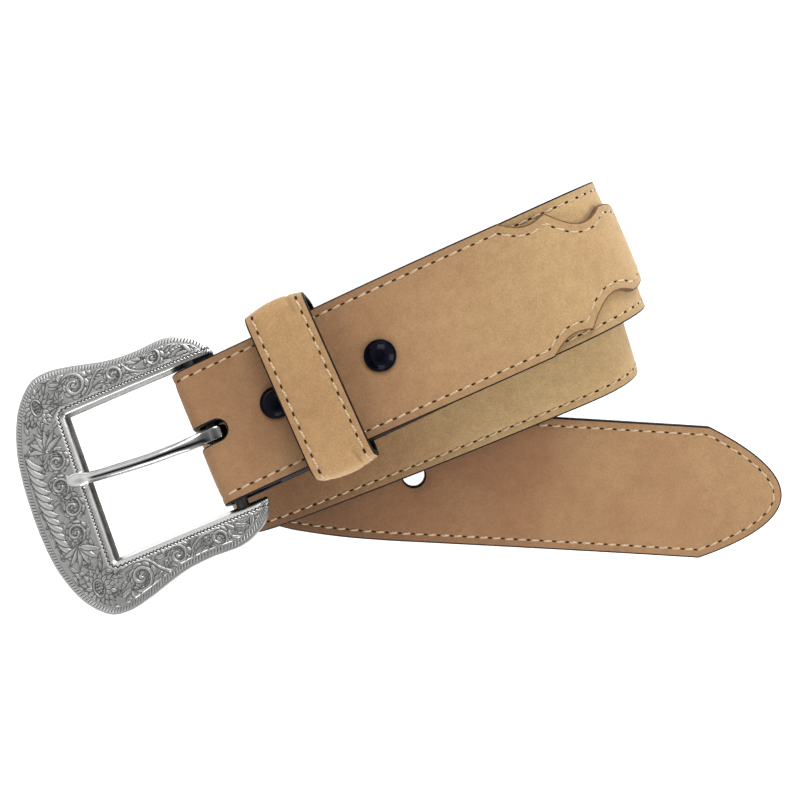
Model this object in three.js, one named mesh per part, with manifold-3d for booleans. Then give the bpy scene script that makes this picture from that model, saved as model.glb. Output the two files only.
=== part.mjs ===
// Western belt, lying in an open coil with its buckle on top.
// Millimetres, +Z up. The origin is on the floor, in the middle of the flat stretch that the coil lies on.
// +X runs along the top of the coil, away from the buckle.

import * as THREE from 'three';
import { mergeVertices } from 'three/addons/utils/BufferGeometryUtils.js';
import Module from 'manifold-3d';

const wasm = await Module();
wasm.setup();

// Driving dimensions of the leather
const STRAP_WIDTH = 38;
const STRAP_THICKNESS = 3.4;
const BILLET_THICKNESS = 1.8;
const LAYER_GAP = 0.3;
const STATION_STEP = 3;
const PATH_STEP = 0.5;

// How the strap coils. A row is a stretch of the strap, from its butt end at the buckle to its tip.
// bend turns it towards its lining, twist turns it about its own length, both in degrees.
const COIL = [
  { stretch: 'top, beside the buckle', length: 30, bend: 0, twist: 3 },
  { stretch: 'top, to the first bend', length: 50.7, bend: 3, twist: 12 },
  { stretch: 'first bend, upper half', length: 50.6, bend: 88, twist: 0.6 },
  { stretch: 'first bend, lower half', length: 32.8, bend: 74, twist: -11.7 },
  { stretch: 'levelling above the floor', length: 12, bend: 3.5, twist: 8.7 },
  { stretch: 'down to the floor', length: 13, bend: 12, twist: 0 },
  { stretch: 'flat on the floor', length: 72.6, bend: 0, twist: 0 },
  { stretch: 'second bend, lower half', length: 30, bend: 90, twist: -4.6 },
  { stretch: 'second bend, upper half', length: 43.5, bend: 86, twist: -9.6 },
  { stretch: 'under the top', length: 79, bend: 7, twist: 9 },
  { stretch: 'third bend, upper half', length: 37.6, bend: 87, twist: 4.3 },
  { stretch: 'third bend, lower half', length: 22.2, bend: 80, twist: -7.9 },
  { stretch: 'levelling above the floor layer', length: 14, bend: 3.5, twist: 9 },
  { stretch: 'down to the floor layer', length: 12, bend: 7.7, twist: 4 },
  { stretch: 'over the floor layer', length: 62.2, bend: 0, twist: 0 },
  { stretch: 'fourth bend, lower half', length: 22, bend: 89, twist: -20.7 },
  { stretch: 'fourth bend, upper half', length: 23, bend: 64, twist: -16 },
  { stretch: 'easing out of the coil', length: 32, bend: 23, twist: -5.7 },
  { stretch: 'tip end', length: 41.8, bend: -1, twist: 2 },
  { stretch: 'tip', length: 66, bend: -3, twist: 1 },
];
const FLOOR_ROW = 6;
const FLOOR_HEADING = 185;
const BEND_EASE = 0.7;

// Tip and belt holes, measured from the tip
const TIP_LENGTH = 22;
const HOLE_DIAMETER = 6.3;
const FIRST_HOLE_FROM_TIP = 105.3;
const HOLE_SPACING = 25.4;
const HOLE_COUNT = 5;

// Buckle end. Distances from the fold run along the strap from the outside of the leather fold.
const BAR_DIAMETER = 3.4;
const BAR_TO_BUTT = 11.2;
const FOLD_CENTRE_TO_BUTT = 12.6;
const FOLD_TO_BUTT = FOLD_CENTRE_TO_BUTT + STRAP_THICKNESS / 2 + LAYER_GAP + BILLET_THICKNESS;
const TAB_FROM_FOLD = 64.2;
const SNAPS_FROM_FOLD = [23.9, 53.8];
const POST_HOLE_DIAMETER = 3.6;
const SLOT_WIDTH = 5.5;
const SLOT_PAST_BAR = 4.2;
const SLOT_REACH = 11.4;

// Scalloped end of the billet: each bite starts and ends at a distance from the fold
// and its deepest and last inset are measured in from the strap's edge.
const SCALLOP_BITES = [
  { from: 95.3, to: 107.2, deepest: 3.3, endInset: 2.4 },
  { from: 107.2, to: 122.4, deepest: 8.6, endInset: 6.6 },
];
const LOBE_END_FROM_FOLD = 141;

// Keeper
const KEEPER_FROM_FOLD = 26.7;
const KEEPER_WIDTH = 16.7;
const KEEPER_THICKNESS = 1.8;
const KEEPER_GAP = 0.6;
const KEEPER_INNER_WIDTH = 43;
const KEEPER_HEADROOM = 5.6;
const KEEPER_CORNER = 3.2;
const KEEPER_SHIFT = -0.9;

// Buckle frame, in its own plane: x towards the strap from the bar, y across
const FRAME_THICKNESS = 3.2;
const FRAME_BEVEL = 0.8;
const FRAME_DROOP = -0.5;
const FRAME_TURN = 1.95;
const FRAME_SHIFT = -0.25;
const FRAME_CURVE = 0.0011;
const FRAME_CREST = -13.1;
const WINDOW_HALF_WIDTH = 20.3;
const WINDOW_DEPTH = 36;
const BAR_IN_ARM = 3;
const FRAME_OUTLINE = [
  { at: 'bow', x: -54.4, y: 0 },
  { at: 'bow side', x: -54, y: 9.5 },
  { at: 'bow side', x: -52.6, y: 18 },
  { at: 'corner start', x: -49, y: 27 },
  { at: 'corner', x: -43.5, y: 33 },
  { at: 'corner end', x: -38.2, y: 34.3 },
  { at: 'shoulder', x: -31.6, y: 33.3 },
  { at: 'waist', x: -21, y: 30.5 },
  { at: 'arm', x: -13, y: 29.7 },
  { at: 'arm end', x: -4, y: 29.9 },
  { at: 'arm tip', x: 1.6, y: 28 },
  { at: 'arm tip', x: 4.8, y: 25.6 },
  { at: 'arm nose', x: 6.8, y: 21.8 },
];
const ARM_END_X = 6.4;

// Prong
const PRONG_WIDTH = 3.6;
const PRONG_WALL = 1.3;
const PRONG_CLEARANCE = 0.3;
const PRONG_RADIUS = 1.5;
const PRONG_TIP = { length: 8.4, width: 4.3, height: 2.6, x: -38.4, y: 2.8, turn: -10 };

// The prong's middle line: x from the bar, y across, and its height over the top of the curl or over the bow
const PRONG_LINE = [
  { x: -1, y: 0, over: 'curl', height: -1.1 },
  { x: -7, y: -0.2, over: 'curl', height: 0.1 },
  { x: -18, y: -0.1, over: 'curl', height: 1.7 },
  { x: -27, y: 0.9, over: 'bow', height: 2.8 },
  { x: -33, y: 1.7, over: 'bow', height: 2.1 },
  { x: PRONG_TIP.x, y: PRONG_TIP.y, over: 'bow', height: PRONG_RADIUS },
];

// Snaps
const SNAP_CAP_RADIUS = 4.3;
const SNAP_CAP_HEIGHT = 1.7;
const SNAP_RIM = 0.6;
const SNAP_POST_RADIUS = 1.5;
const SNAP_BACK_RADIUS = 2.5;
const SNAP_BACK_HEIGHT = 1;

const TAN = 0xb98a5e;
const LIGHT_TAN = 0xc9a877;
const leather = new THREE.MeshStandardMaterial({ color: TAN, roughness: 0.85, metalness: 0 });
const keeperLeather = new THREE.MeshStandardMaterial({ color: LIGHT_TAN, roughness: 0.85, metalness: 0 });
const antiqueSilver = new THREE.MeshStandardMaterial({ color: 0xa9a9a6, roughness: 0.35, metalness: 1 });
const darkNickel = new THREE.MeshStandardMaterial({ color: 0x85837f, roughness: 0.25, metalness: 1 });
const blackEnamel = new THREE.MeshStandardMaterial({ color: 0x0c0d12, roughness: 0.2, metalness: 0.3 });

// Offsets of the billet's two layers from the middle of the strap
const BILLET_MIDDLE = STRAP_THICKNESS / 2 + LAYER_GAP + BILLET_THICKNESS / 2;
const BILLET_FACE = BILLET_MIDDLE + BILLET_THICKNESS / 2;
const PUNCH_DEPTH = 6 * BILLET_FACE;
const halfStrap = STRAP_WIDTH / 2;

// A frame on the strap: p is the middle of the strap, t runs towards the tip, n towards the lining, w across.
function station(s, p, t, n) {
  const w = new THREE.Vector3().crossVectors(n, t);
  return { s, p: p.clone(), t: t.clone(), n: n.clone(), w };
}

// Share of a stretch's bend that is done at a part u of its length. It starts and ends gently.
function bendShare(u) {
  return u - (BEND_EASE * Math.sin(2 * Math.PI * u)) / (2 * Math.PI);
}

// Walks the coil's rows in short steps, starting at the butt end, in a frame of its own.
function walkCoil() {
  const p = new THREE.Vector3(0, 0, 0);
  const t = new THREE.Vector3(1, 0, 0);
  const n = new THREE.Vector3(0, 0, -1);
  const stations = [station(0, p, t, n)];
  const rowStarts = [];
  let s = 0;
  for (const row of COIL) {
    rowStarts.push(s);
    const steps = Math.round(row.length / PATH_STEP);
    const step = row.length / steps;
    for (let i = 0; i < steps; i += 1) {
      const share = bendShare((i + 1) / steps) - bendShare(i / steps);
      const bend = THREE.MathUtils.degToRad(row.bend * share);
      const twist = THREE.MathUtils.degToRad(row.twist / steps);
      const axis = new THREE.Vector3().crossVectors(t, n);
      t.applyAxisAngle(axis, bend / 2);
      p.addScaledVector(t, step);
      t.applyAxisAngle(axis, bend / 2);
      n.applyAxisAngle(axis, bend);
      n.applyAxisAngle(t, twist);
      s += step;
      stations.push(station(s, p, t, n));
    }
  }
  return { stations, rowStarts, length: s };
}

// Lays the coil down: the middle of the floor stretch goes to the origin, with its grain side on the floor.
function layDown(coil) {
  const middle = coil.rowStarts[FLOOR_ROW] + COIL[FLOOR_ROW].length / 2;
  const at = coil.stations[Math.round(middle / PATH_STEP)];
  const from = new THREE.Matrix4().makeBasis(at.t, at.w, at.n).setPosition(at.p);
  const heading = THREE.MathUtils.degToRad(FLOOR_HEADING);
  const t = new THREE.Vector3(Math.cos(heading), Math.sin(heading), 0);
  const n = new THREE.Vector3(0, 0, 1);
  const w = new THREE.Vector3().crossVectors(n, t);
  const to = new THREE.Matrix4().makeBasis(t, w, n).setPosition(0, 0, STRAP_THICKNESS / 2);
  const lay = to.multiply(from.invert());
  for (const one of coil.stations) {
    one.p.applyMatrix4(lay);
    one.t.transformDirection(lay);
    one.n.transformDirection(lay);
    one.w.transformDirection(lay);
  }
  return coil;
}

const coil = layDown(walkCoil());
const start = coil.stations[0];

// The frame at any distance s from the butt end. Before the butt end it runs on straight.
function frameAt(s) {
  if (s <= 0) {
    return { s, p: start.p.clone().addScaledVector(start.t, s), t: start.t, n: start.n, w: start.w };
  }
  const i = Math.min(Math.floor(s / PATH_STEP), coil.stations.length - 2);
  const a = coil.stations[i];
  const b = coil.stations[i + 1];
  const k = (s - a.s) / (b.s - a.s);
  const p = a.p.clone().lerp(b.p, k);
  const t = a.t.clone().lerp(b.t, k).normalize();
  const w = a.w.clone().lerp(b.w, k).normalize();
  return { s, p, t, w, n: new THREE.Vector3().crossVectors(t, w) };
}

// Evenly spaced values from a to b, with steps no longer than step
function spaced(a, b, step) {
  const count = Math.max(1, Math.ceil((b - a) / step));
  return Array.from({ length: count + 1 }, (_, i) => a + ((b - a) * i) / count);
}

// A closed leather ribbon through sections. Each has a middle point, a way across, a way out and a half width.
function ribbon(sections, thickness) {
  const half = thickness / 2;
  const vertices = [];
  for (const { middle, across, out, halfWidth } of sections) {
    for (const [y, z] of [[-halfWidth, -half], [halfWidth, -half], [halfWidth, half], [-halfWidth, half]]) {
      const point = middle.clone().addScaledVector(across, y).addScaledVector(out, z);
      vertices.push(point.x, point.y, point.z);
    }
  }
  const faces = [];
  const last = (sections.length - 1) * 4;
  for (let i = 0; i < last; i += 4) {
    for (let k = 0; k < 4; k += 1) {
      const a = i + k;
      const b = i + ((k + 1) % 4);
      faces.push(a, a + 4, b, b, a + 4, b + 4);
    }
  }
  faces.push(0, 1, 2, 0, 2, 3);
  faces.push(last, last + 2, last + 1, last, last + 3, last + 2);
  const geometry = new THREE.BufferGeometry();
  geometry.setAttribute('position', new THREE.Float32BufferAttribute(vertices, 3));
  geometry.setIndex(faces);
  return geometry;
}

// Turns a closed geometry into a solid for cutting and joining
function solid(geometry) {
  const plain = geometry.index ? geometry.clone() : geometry;
  plain.deleteAttribute('normal');
  plain.deleteAttribute('uv');
  const merged = mergeVertices(plain, 1e-4);
  const vertProperties = new Float32Array(merged.attributes.position.array);
  const triVerts = new Uint32Array(merged.index.array);
  return new wasm.Manifold(new wasm.Mesh({ numProp: 3, vertProperties, triVerts }));
}

// Turns a solid back into a geometry
function surface(body) {
  const mesh = body.getMesh();
  const geometry = new THREE.BufferGeometry();
  geometry.setAttribute('position', new THREE.BufferAttribute(new Float32Array(mesh.vertProperties), 3));
  geometry.setIndex(new THREE.BufferAttribute(new Uint32Array(mesh.triVerts), 1));
  geometry.computeVertexNormals();
  return geometry;
}

// Places local shapes on the strap: x along it, y across towards +Y, z out of its grain side
function strapMatrix(frame) {
  const across = frame.w.clone().negate();
  const out = frame.n.clone().negate();
  return new THREE.Matrix4().makeBasis(frame.t, across, out).setPosition(frame.p);
}

// A straight round cutter through all the layers at a distance s from the butt end
function punch(s, diameter, sides) {
  const geometry = new THREE.CylinderGeometry(diameter / 2, diameter / 2, PUNCH_DEPTH, sides);
  geometry.rotateX(Math.PI / 2);
  geometry.applyMatrix4(strapMatrix(frameAt(s)));
  return solid(geometry);
}

// Half width of the strap, which ends in a rounded point
function strapHalfWidth(s) {
  const left = coil.length - s;
  return left >= TIP_LENGTH ? halfStrap : halfStrap * Math.sqrt(Math.max(left, 0.12) / TIP_LENGTH);
}

function buildStrap() {
  const body = spaced(0, coil.length - TIP_LENGTH, STATION_STEP);
  const tip = spaced(0, 1, 0.125).slice(1).map((u) => coil.length - TIP_LENGTH * (1 - u) ** 2);
  const sections = [...body, ...tip].map((s) => {
    const { p, w, n } = frameAt(s);
    return { middle: p, across: w.clone().negate(), out: n, halfWidth: strapHalfWidth(s) };
  });
  let strap = solid(ribbon(sections, STRAP_THICKNESS));
  for (let i = 0; i < HOLE_COUNT; i += 1) {
    const s = coil.length - FIRST_HOLE_FROM_TIP - i * HOLE_SPACING;
    strap = strap.subtract(punch(s, HOLE_DIAMETER, 20));
  }
  for (const f of SNAPS_FROM_FOLD) {
    strap = strap.subtract(punch(f - FOLD_TO_BUTT, POST_HOLE_DIAMETER, 16));
  }
  return surface(strap);
}

// Inset of the billet's edge from the strap's edge, at a distance f from the fold
function scallopInset(f) {
  let from = 0;
  for (const bite of SCALLOP_BITES) {
    if (f <= bite.to) {
      const u = THREE.MathUtils.clamp((f - bite.from) / (bite.to - bite.from), 0, 1);
      const scoop = bite.deepest - (from + bite.endInset) / 2;
      return from + (bite.endInset - from) * u + scoop * Math.sin(Math.PI * u);
    }
    from = bite.endInset;
  }
  const u = (f - SCALLOP_BITES.at(-1).to) / (LOBE_END_FROM_FOLD - SCALLOP_BITES.at(-1).to);
  const lobe = halfStrap - SCALLOP_BITES.at(-1).endInset;
  return halfStrap - lobe * Math.sqrt(Math.max(1 - u * u, 0.0004));
}

function buildBillet() {
  const bites = SCALLOP_BITES.flatMap(({ from, to }) => spaced(from, to, (to - from) / 10).slice(0, -1));
  const lobeFrom = SCALLOP_BITES.at(-1).to;
  const lobe = spaced(0, 1, 0.125).map((u) => lobeFrom + (LOBE_END_FROM_FOLD - lobeFrom) * Math.sin((Math.PI * u) / 2));
  const plain = spaced(FOLD_TO_BUTT - FOLD_CENTRE_TO_BUTT, SCALLOP_BITES[0].from, STATION_STEP).slice(1, -1);
  const top = [...plain, ...bites, ...lobe].reverse().map((f) => {
    const { p, w, n } = frameAt(f - FOLD_TO_BUTT);
    const middle = p.clone().addScaledVector(n, -BILLET_MIDDLE);
    return { middle, across: w.clone().negate(), out: n.clone().negate(), halfWidth: halfStrap - scallopInset(f) };
  });
  const centre = frameAt(-FOLD_CENTRE_TO_BUTT);
  const fold = spaced(0, Math.PI, Math.PI / 12).map((angle) => {
    const out = centre.n.clone().multiplyScalar(-Math.cos(angle)).addScaledVector(centre.t, -Math.sin(angle));
    const middle = centre.p.clone().addScaledVector(out, BILLET_MIDDLE);
    return { middle, across: centre.w.clone().negate(), out, halfWidth: halfStrap };
  });
  const under = spaced(-FOLD_CENTRE_TO_BUTT, TAB_FROM_FOLD - FOLD_TO_BUTT, STATION_STEP).slice(1).map((s) => {
    const { p, w, n } = frameAt(s);
    const middle = p.clone().addScaledVector(n, BILLET_MIDDLE);
    return { middle, across: w.clone().negate(), out: n, halfWidth: halfStrap };
  });
  let billet = solid(ribbon([...top, ...fold, ...under], BILLET_THICKNESS));
  for (const f of SNAPS_FROM_FOLD) {
    billet = billet.subtract(punch(f - FOLD_TO_BUTT, POST_HOLE_DIAMETER, 16));
  }
  return surface(billet.subtract(prongSlot()));
}

// Cutter for the prong's slot: open at the fold, with a round end past the bar
function prongSlot() {
  const radius = SLOT_WIDTH / 2;
  const shape = new THREE.Shape();
  shape.moveTo(-SLOT_REACH, -radius);
  shape.lineTo(SLOT_PAST_BAR - radius, -radius);
  shape.absarc(SLOT_PAST_BAR - radius, 0, radius, -Math.PI / 2, Math.PI / 2, false);
  shape.lineTo(-SLOT_REACH, radius);
  const depth = PUNCH_DEPTH;
  const geometry = new THREE.ExtrudeGeometry(shape, { depth, bevelEnabled: false, curveSegments: 8 });
  geometry.translate(0, 0, -depth / 2);
  geometry.applyMatrix4(strapMatrix(frameAt(-BAR_TO_BUTT)));
  return solid(geometry);
}

// A rectangle with round corners, as an outline or as a hole
function roundedRectangle(path, xLow, yLow, xHigh, yHigh, corner) {
  path.moveTo(xLow + corner, yLow);
  path.lineTo(xHigh - corner, yLow);
  path.absarc(xHigh - corner, yLow + corner, corner, -Math.PI / 2, 0, false);
  path.lineTo(xHigh, yHigh - corner);
  path.absarc(xHigh - corner, yHigh - corner, corner, 0, Math.PI / 2, false);
  path.lineTo(xLow + corner, yHigh);
  path.absarc(xLow + corner, yHigh - corner, corner, Math.PI / 2, Math.PI, false);
  path.lineTo(xLow, yLow + corner);
  path.absarc(xLow + corner, yLow + corner, corner, Math.PI, 1.5 * Math.PI, false);
  return path;
}

// The keeper's loop goes round all the layers and leaves room above them for the tip
function buildKeeper() {
  const halfInner = KEEPER_INNER_WIDTH / 2;
  const halfOuter = halfInner + KEEPER_THICKNESS;
  const low = -BILLET_FACE - KEEPER_GAP;
  const high = BILLET_FACE + KEEPER_HEADROOM;
  const wall = KEEPER_THICKNESS;
  const shape = roundedRectangle(new THREE.Shape(), -halfOuter, low - wall, halfOuter, high + wall, KEEPER_CORNER);
  const inner = KEEPER_CORNER - wall / 2;
  shape.holes.push(roundedRectangle(new THREE.Path(), -halfInner, low, halfInner, high, inner));
  const geometry = new THREE.ExtrudeGeometry(shape, { depth: KEEPER_WIDTH, bevelEnabled: false, curveSegments: 4 });
  geometry.translate(KEEPER_SHIFT, 0, -KEEPER_WIDTH / 2);
  geometry.applyMatrix4(new THREE.Matrix4().makeBasis(
    new THREE.Vector3(0, 1, 0), new THREE.Vector3(0, 0, 1), new THREE.Vector3(1, 0, 0)));
  geometry.applyMatrix4(strapMatrix(frameAt(KEEPER_FROM_FOLD + KEEPER_WIDTH / 2 - FOLD_TO_BUTT)));
  return surface(solid(geometry));
}

// A snap: a domed cap, its post through the leather and the disc behind
function buildSnap(fromFold) {
  const under = BILLET_FACE + LAYER_GAP;
  const rimTop = under + SNAP_RIM;
  const profile = [
    new THREE.Vector2(0, -under - SNAP_BACK_HEIGHT),
    new THREE.Vector2(SNAP_BACK_RADIUS, -under - SNAP_BACK_HEIGHT),
    new THREE.Vector2(SNAP_BACK_RADIUS, -under),
    new THREE.Vector2(SNAP_POST_RADIUS, -under),
    new THREE.Vector2(SNAP_POST_RADIUS, under),
    new THREE.Vector2(SNAP_CAP_RADIUS, under),
    new THREE.Vector2(SNAP_CAP_RADIUS, rimTop),
  ];
  const dome = SNAP_CAP_HEIGHT - SNAP_RIM;
  for (const angle of spaced(0, Math.PI / 2, Math.PI / 10).slice(1)) {
    const radius = angle < Math.PI / 2 ? SNAP_CAP_RADIUS * Math.cos(angle) : 0;
    profile.push(new THREE.Vector2(radius, rimTop + dome * Math.sin(angle)));
  }
  const geometry = new THREE.LatheGeometry(profile, 24);
  geometry.rotateX(Math.PI / 2);
  geometry.applyMatrix4(strapMatrix(frameAt(fromFold - FOLD_TO_BUTT)));
  return surface(solid(geometry));
}

// The buckle lies a little askew in the fold, turned down about its bar
function buckleMatrix() {
  const turn = new THREE.Matrix4().makeRotationZ(THREE.MathUtils.degToRad(-FRAME_TURN));
  const droop = new THREE.Matrix4().makeRotationY(THREE.MathUtils.degToRad(-FRAME_DROOP));
  const shift = new THREE.Matrix4().makeTranslation(0, FRAME_SHIFT, 0);
  return strapMatrix(frameAt(-BAR_TO_BUTT)).multiply(turn).multiply(shift).multiply(droop);
}

// Height that the frame's middle surface falls by at x, so that it curves with the wearer
function frameFall(x) {
  return FRAME_CURVE * ((x - FRAME_CREST) ** 2 - FRAME_CREST ** 2);
}

// The cast frame: two arms and a broad bow in one outline, and the bar that joins the arms
function buildBuckleFrame() {
  const upper = FRAME_OUTLINE.map(({ x, y }) => new THREE.Vector2(x, y));
  const lower = upper.slice(1).map(({ x, y }) => new THREE.Vector2(x, -y)).reverse();
  const shape = new THREE.Shape();
  shape.moveTo(ARM_END_X, -WINDOW_HALF_WIDTH);
  shape.splineThru([...lower, ...upper]);
  shape.lineTo(ARM_END_X, WINDOW_HALF_WIDTH);
  for (const x of spaced(-ARM_END_X, WINDOW_DEPTH, 6)) {
    shape.lineTo(-x, WINDOW_HALF_WIDTH);
  }
  for (const x of spaced(-WINDOW_DEPTH, ARM_END_X, 6)) {
    shape.lineTo(x, -WINDOW_HALF_WIDTH);
  }
  const plan = new THREE.Shape(outlinePoints(shape));
  const frame = new THREE.ExtrudeGeometry(plan, {
    depth: FRAME_THICKNESS - 2 * FRAME_BEVEL,
    bevelThickness: FRAME_BEVEL,
    bevelSize: FRAME_BEVEL,
    bevelOffset: -FRAME_BEVEL,
    bevelSegments: 2,
  });
  frame.translate(0, 0, FRAME_BEVEL - FRAME_THICKNESS / 2);
  const position = frame.attributes.position;
  for (let i = 0; i < position.count; i += 1) {
    position.setZ(i, position.getZ(i) - frameFall(position.getX(i)));
  }
  const bar = new THREE.CylinderGeometry(BAR_DIAMETER / 2, BAR_DIAMETER / 2, 2 * (WINDOW_HALF_WIDTH + BAR_IN_ARM), 20);
  return surface(solid(frame).add(solid(bar))).applyMatrix4(buckleMatrix());
}

// The corners of an outline, without repeats
function outlinePoints(shape) {
  const points = shape.getPoints(4);
  return points.filter((point, i) => i === 0 || point.distanceTo(points[i - 1]) > 0.05);
}

// The prong is curled round the bar and lies with its flattened tip on the bow
function buildProng() {
  const inner = BAR_DIAMETER / 2 + PRONG_CLEARANCE;
  const outer = inner + PRONG_WALL;
  const ring = new THREE.Shape().absarc(0, 0, outer, 0, 2 * Math.PI, false);
  ring.holes.push(new THREE.Path().absarc(0, 0, inner, 0, 2 * Math.PI, true));
  const curl = new THREE.ExtrudeGeometry(ring, { depth: PRONG_WIDTH, bevelEnabled: false, curveSegments: 20 });
  curl.translate(0, 0, -PRONG_WIDTH / 2);
  curl.rotateX(Math.PI / 2);

  const bowTop = FRAME_THICKNESS / 2 - frameFall(PRONG_TIP.x) + PRONG_CLEARANCE;
  const line = new THREE.CatmullRomCurve3(PRONG_LINE.map(({ x, y, over, height }) =>
    new THREE.Vector3(x, y, height + (over === 'bow' ? bowTop : outer))));
  const round = new THREE.Shape().absarc(0, 0, PRONG_RADIUS, 0, 2 * Math.PI, false);
  const shank = new THREE.ExtrudeGeometry(round, { extrudePath: line, steps: 20, curveSegments: 6 });

  const tip = new THREE.SphereGeometry(0.5, 16, 10);
  tip.scale(PRONG_TIP.length, PRONG_TIP.width, PRONG_TIP.height);
  tip.rotateZ(THREE.MathUtils.degToRad(PRONG_TIP.turn));
  tip.translate(PRONG_TIP.x, PRONG_TIP.y, bowTop + PRONG_TIP.height / 2);
  const prong = solid(shank).add(solid(tip));
  const barRoom = new THREE.CylinderGeometry(inner, inner, 4 * PRONG_WIDTH, 40);
  return surface(prong.subtract(solid(barRoom)).add(solid(curl))).applyMatrix4(buckleMatrix());
}

// A named piece of the belt
function piece(name, geometry, material) {
  const mesh = new THREE.Mesh(geometry, material);
  mesh.name = name;
  return mesh;
}

const belt = new THREE.Group();
belt.add(piece('strap', buildStrap(), leather));
belt.add(piece('billet', buildBillet(), leather));
belt.add(piece('keeper', buildKeeper(), keeperLeather));
belt.add(piece('buckle_frame', buildBuckleFrame(), antiqueSilver));
belt.add(piece('prong', buildProng(), darkNickel));
SNAPS_FROM_FOLD.forEach((fromFold, i) => belt.add(piece(`snap_${i + 1}`, buildSnap(fromFold), blackEnamel)));

export default belt;
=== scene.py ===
"""Western belt lying in an open coil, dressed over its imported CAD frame.

Sizes are in millimetres here and become metres when a mesh is made. The strap follows the same
rows as the CAD coil, so every leather piece is cut flat as a panel and then laid along the coil.
"""

import logging
import math
from dataclasses import dataclass, field, replace
from enum import Enum
from typing import Callable, ClassVar

import bpy
import numpy as np
from mathutils import Matrix, Vector
from mathutils.geometry import delaunay_2d_cdt


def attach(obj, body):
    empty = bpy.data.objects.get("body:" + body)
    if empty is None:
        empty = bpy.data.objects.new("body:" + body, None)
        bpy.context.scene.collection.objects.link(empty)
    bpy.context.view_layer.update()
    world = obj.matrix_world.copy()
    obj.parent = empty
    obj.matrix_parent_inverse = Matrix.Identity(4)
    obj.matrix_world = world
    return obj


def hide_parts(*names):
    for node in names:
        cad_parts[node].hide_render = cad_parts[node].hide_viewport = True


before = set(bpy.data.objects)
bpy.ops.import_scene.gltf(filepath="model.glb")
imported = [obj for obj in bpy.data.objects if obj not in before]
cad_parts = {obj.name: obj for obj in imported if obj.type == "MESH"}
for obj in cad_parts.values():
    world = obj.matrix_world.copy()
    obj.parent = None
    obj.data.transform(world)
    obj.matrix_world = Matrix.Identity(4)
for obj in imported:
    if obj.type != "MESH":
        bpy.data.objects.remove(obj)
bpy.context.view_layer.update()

log = logging.getLogger("belt")

Array = np.ndarray
Colour = tuple[float, float, float]
Row = tuple[float, ...]

MM = 0.001
SEED = 7
TINY = 1e-9
FAR = 99.0
ROPE_AT = 1.1

STRAP_WIDTH = 38.0
STRAP_THICKNESS = 3.4
BILLET_THICKNESS = 1.8
LAYER_GAP = 0.3
HALF_STRAP = STRAP_WIDTH / 2
BILLET_MIDDLE = STRAP_THICKNESS / 2 + LAYER_GAP + BILLET_THICKNESS / 2
BILLET_FACE = BILLET_MIDDLE + BILLET_THICKNESS / 2
FOLD_CENTRE = 12.6
BAR_TO_BUTT = 11.2
FOLD_TO_BUTT = FOLD_CENTRE + BILLET_FACE
SNAPS_FROM_FOLD = (23.9, 53.8)


class Body(Enum):
    """The CAD bodies that the pieces ride on."""

    BELT = "belt"
    BUCKLE = "buckle"
    PRONG = "prong"


class Skin(Enum):
    """Which finish a face of a leather panel takes, in the order of its material slots."""

    GRAIN = 0
    EDGE = 1
    LINING = 2
    CUT = 3


@dataclass(frozen=True)
class Stretch:
    """A stretch of the strap, in mm and degrees. bend turns it towards its lining, twist about its length."""

    length: float
    bend: float
    twist: float


COIL_ROWS = (
    Stretch(30, 0, 3),
    Stretch(50.7, 3, 12),
    Stretch(50.6, 88, 0.6),
    Stretch(32.8, 74, -11.7),
    Stretch(12, 3.5, 8.7),
    Stretch(13, 12, 0),
    Stretch(72.6, 0, 0),
    Stretch(30, 90, -4.6),
    Stretch(43.5, 86, -9.6),
    Stretch(79, 7, 9),
    Stretch(37.6, 87, 4.3),
    Stretch(22.2, 80, -7.9),
    Stretch(14, 3.5, 9),
    Stretch(12, 7.7, 4),
    Stretch(62.2, 0, 0),
    Stretch(22, 89, -20.7),
    Stretch(23, 64, -16),
    Stretch(32, 23, -5.7),
    Stretch(41.8, -1, 2),
    Stretch(66, -3, 1),
)
FLOOR_ROW = 6
FLOOR_HEADING = 185.0
BEND_EASE = 0.7
PATH_STEP = 0.5


def turned(v: Array, axis: Array, angle: float) -> Array:
    """The vector v turned about a unit axis by an angle in radians."""
    c, s = math.cos(angle), math.sin(angle)
    return v * c + np.cross(axis, v) * s + axis * (axis @ v) * (1 - c)


def unit(v: Array) -> Array:
    """Vectors of length one, along the last axis."""
    return v / np.linalg.norm(v, axis=-1, keepdims=True)


def smooth(x: Array, low: float, high: float) -> Array:
    """A smooth step from 0 at low to 1 at high."""
    u = np.clip((x - low) / (high - low), 0.0, 1.0)
    return u * u * (3 - 2 * u)


def distances(line: Array) -> Array:
    """How far along a line each of its points lies."""
    return np.concatenate([[0], np.cumsum(np.linalg.norm(np.diff(line, axis=0), axis=1))])


def between(at: Array, line: Array, where: Array) -> Array:
    """Points of a line at distances where, with at the distances of its own points."""
    return np.stack([np.interp(where, at, column) for column in line.T], -1)


def tube_quads(rings: int, sides: int, flipped: bool = False) -> Array:
    """The quads that join the rings of a tube, ring by ring."""
    start = np.arange(rings - 1)[:, None] * sides
    k = np.arange(sides)
    nexts = (k + 1) % sides
    quads = np.stack([start + k, start + nexts, start + sides + nexts, start + sides + k], -1).reshape(-1, 4)
    return quads[:, [0, 3, 2, 1]] if flipped else quads


def end_row(x: float, half: float, count: int) -> Array:
    """Points across a strip at x, from its high side to its low side, without its corners."""
    return np.stack([np.full(count, x), np.linspace(half, -half, count + 2)[1:-1]], 1)


@dataclass
class Frames:
    """Frames on the strap: p on its middle, t towards the tip, w across, n towards the lining."""

    p: Array
    t: Array
    w: Array
    n: Array


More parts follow.
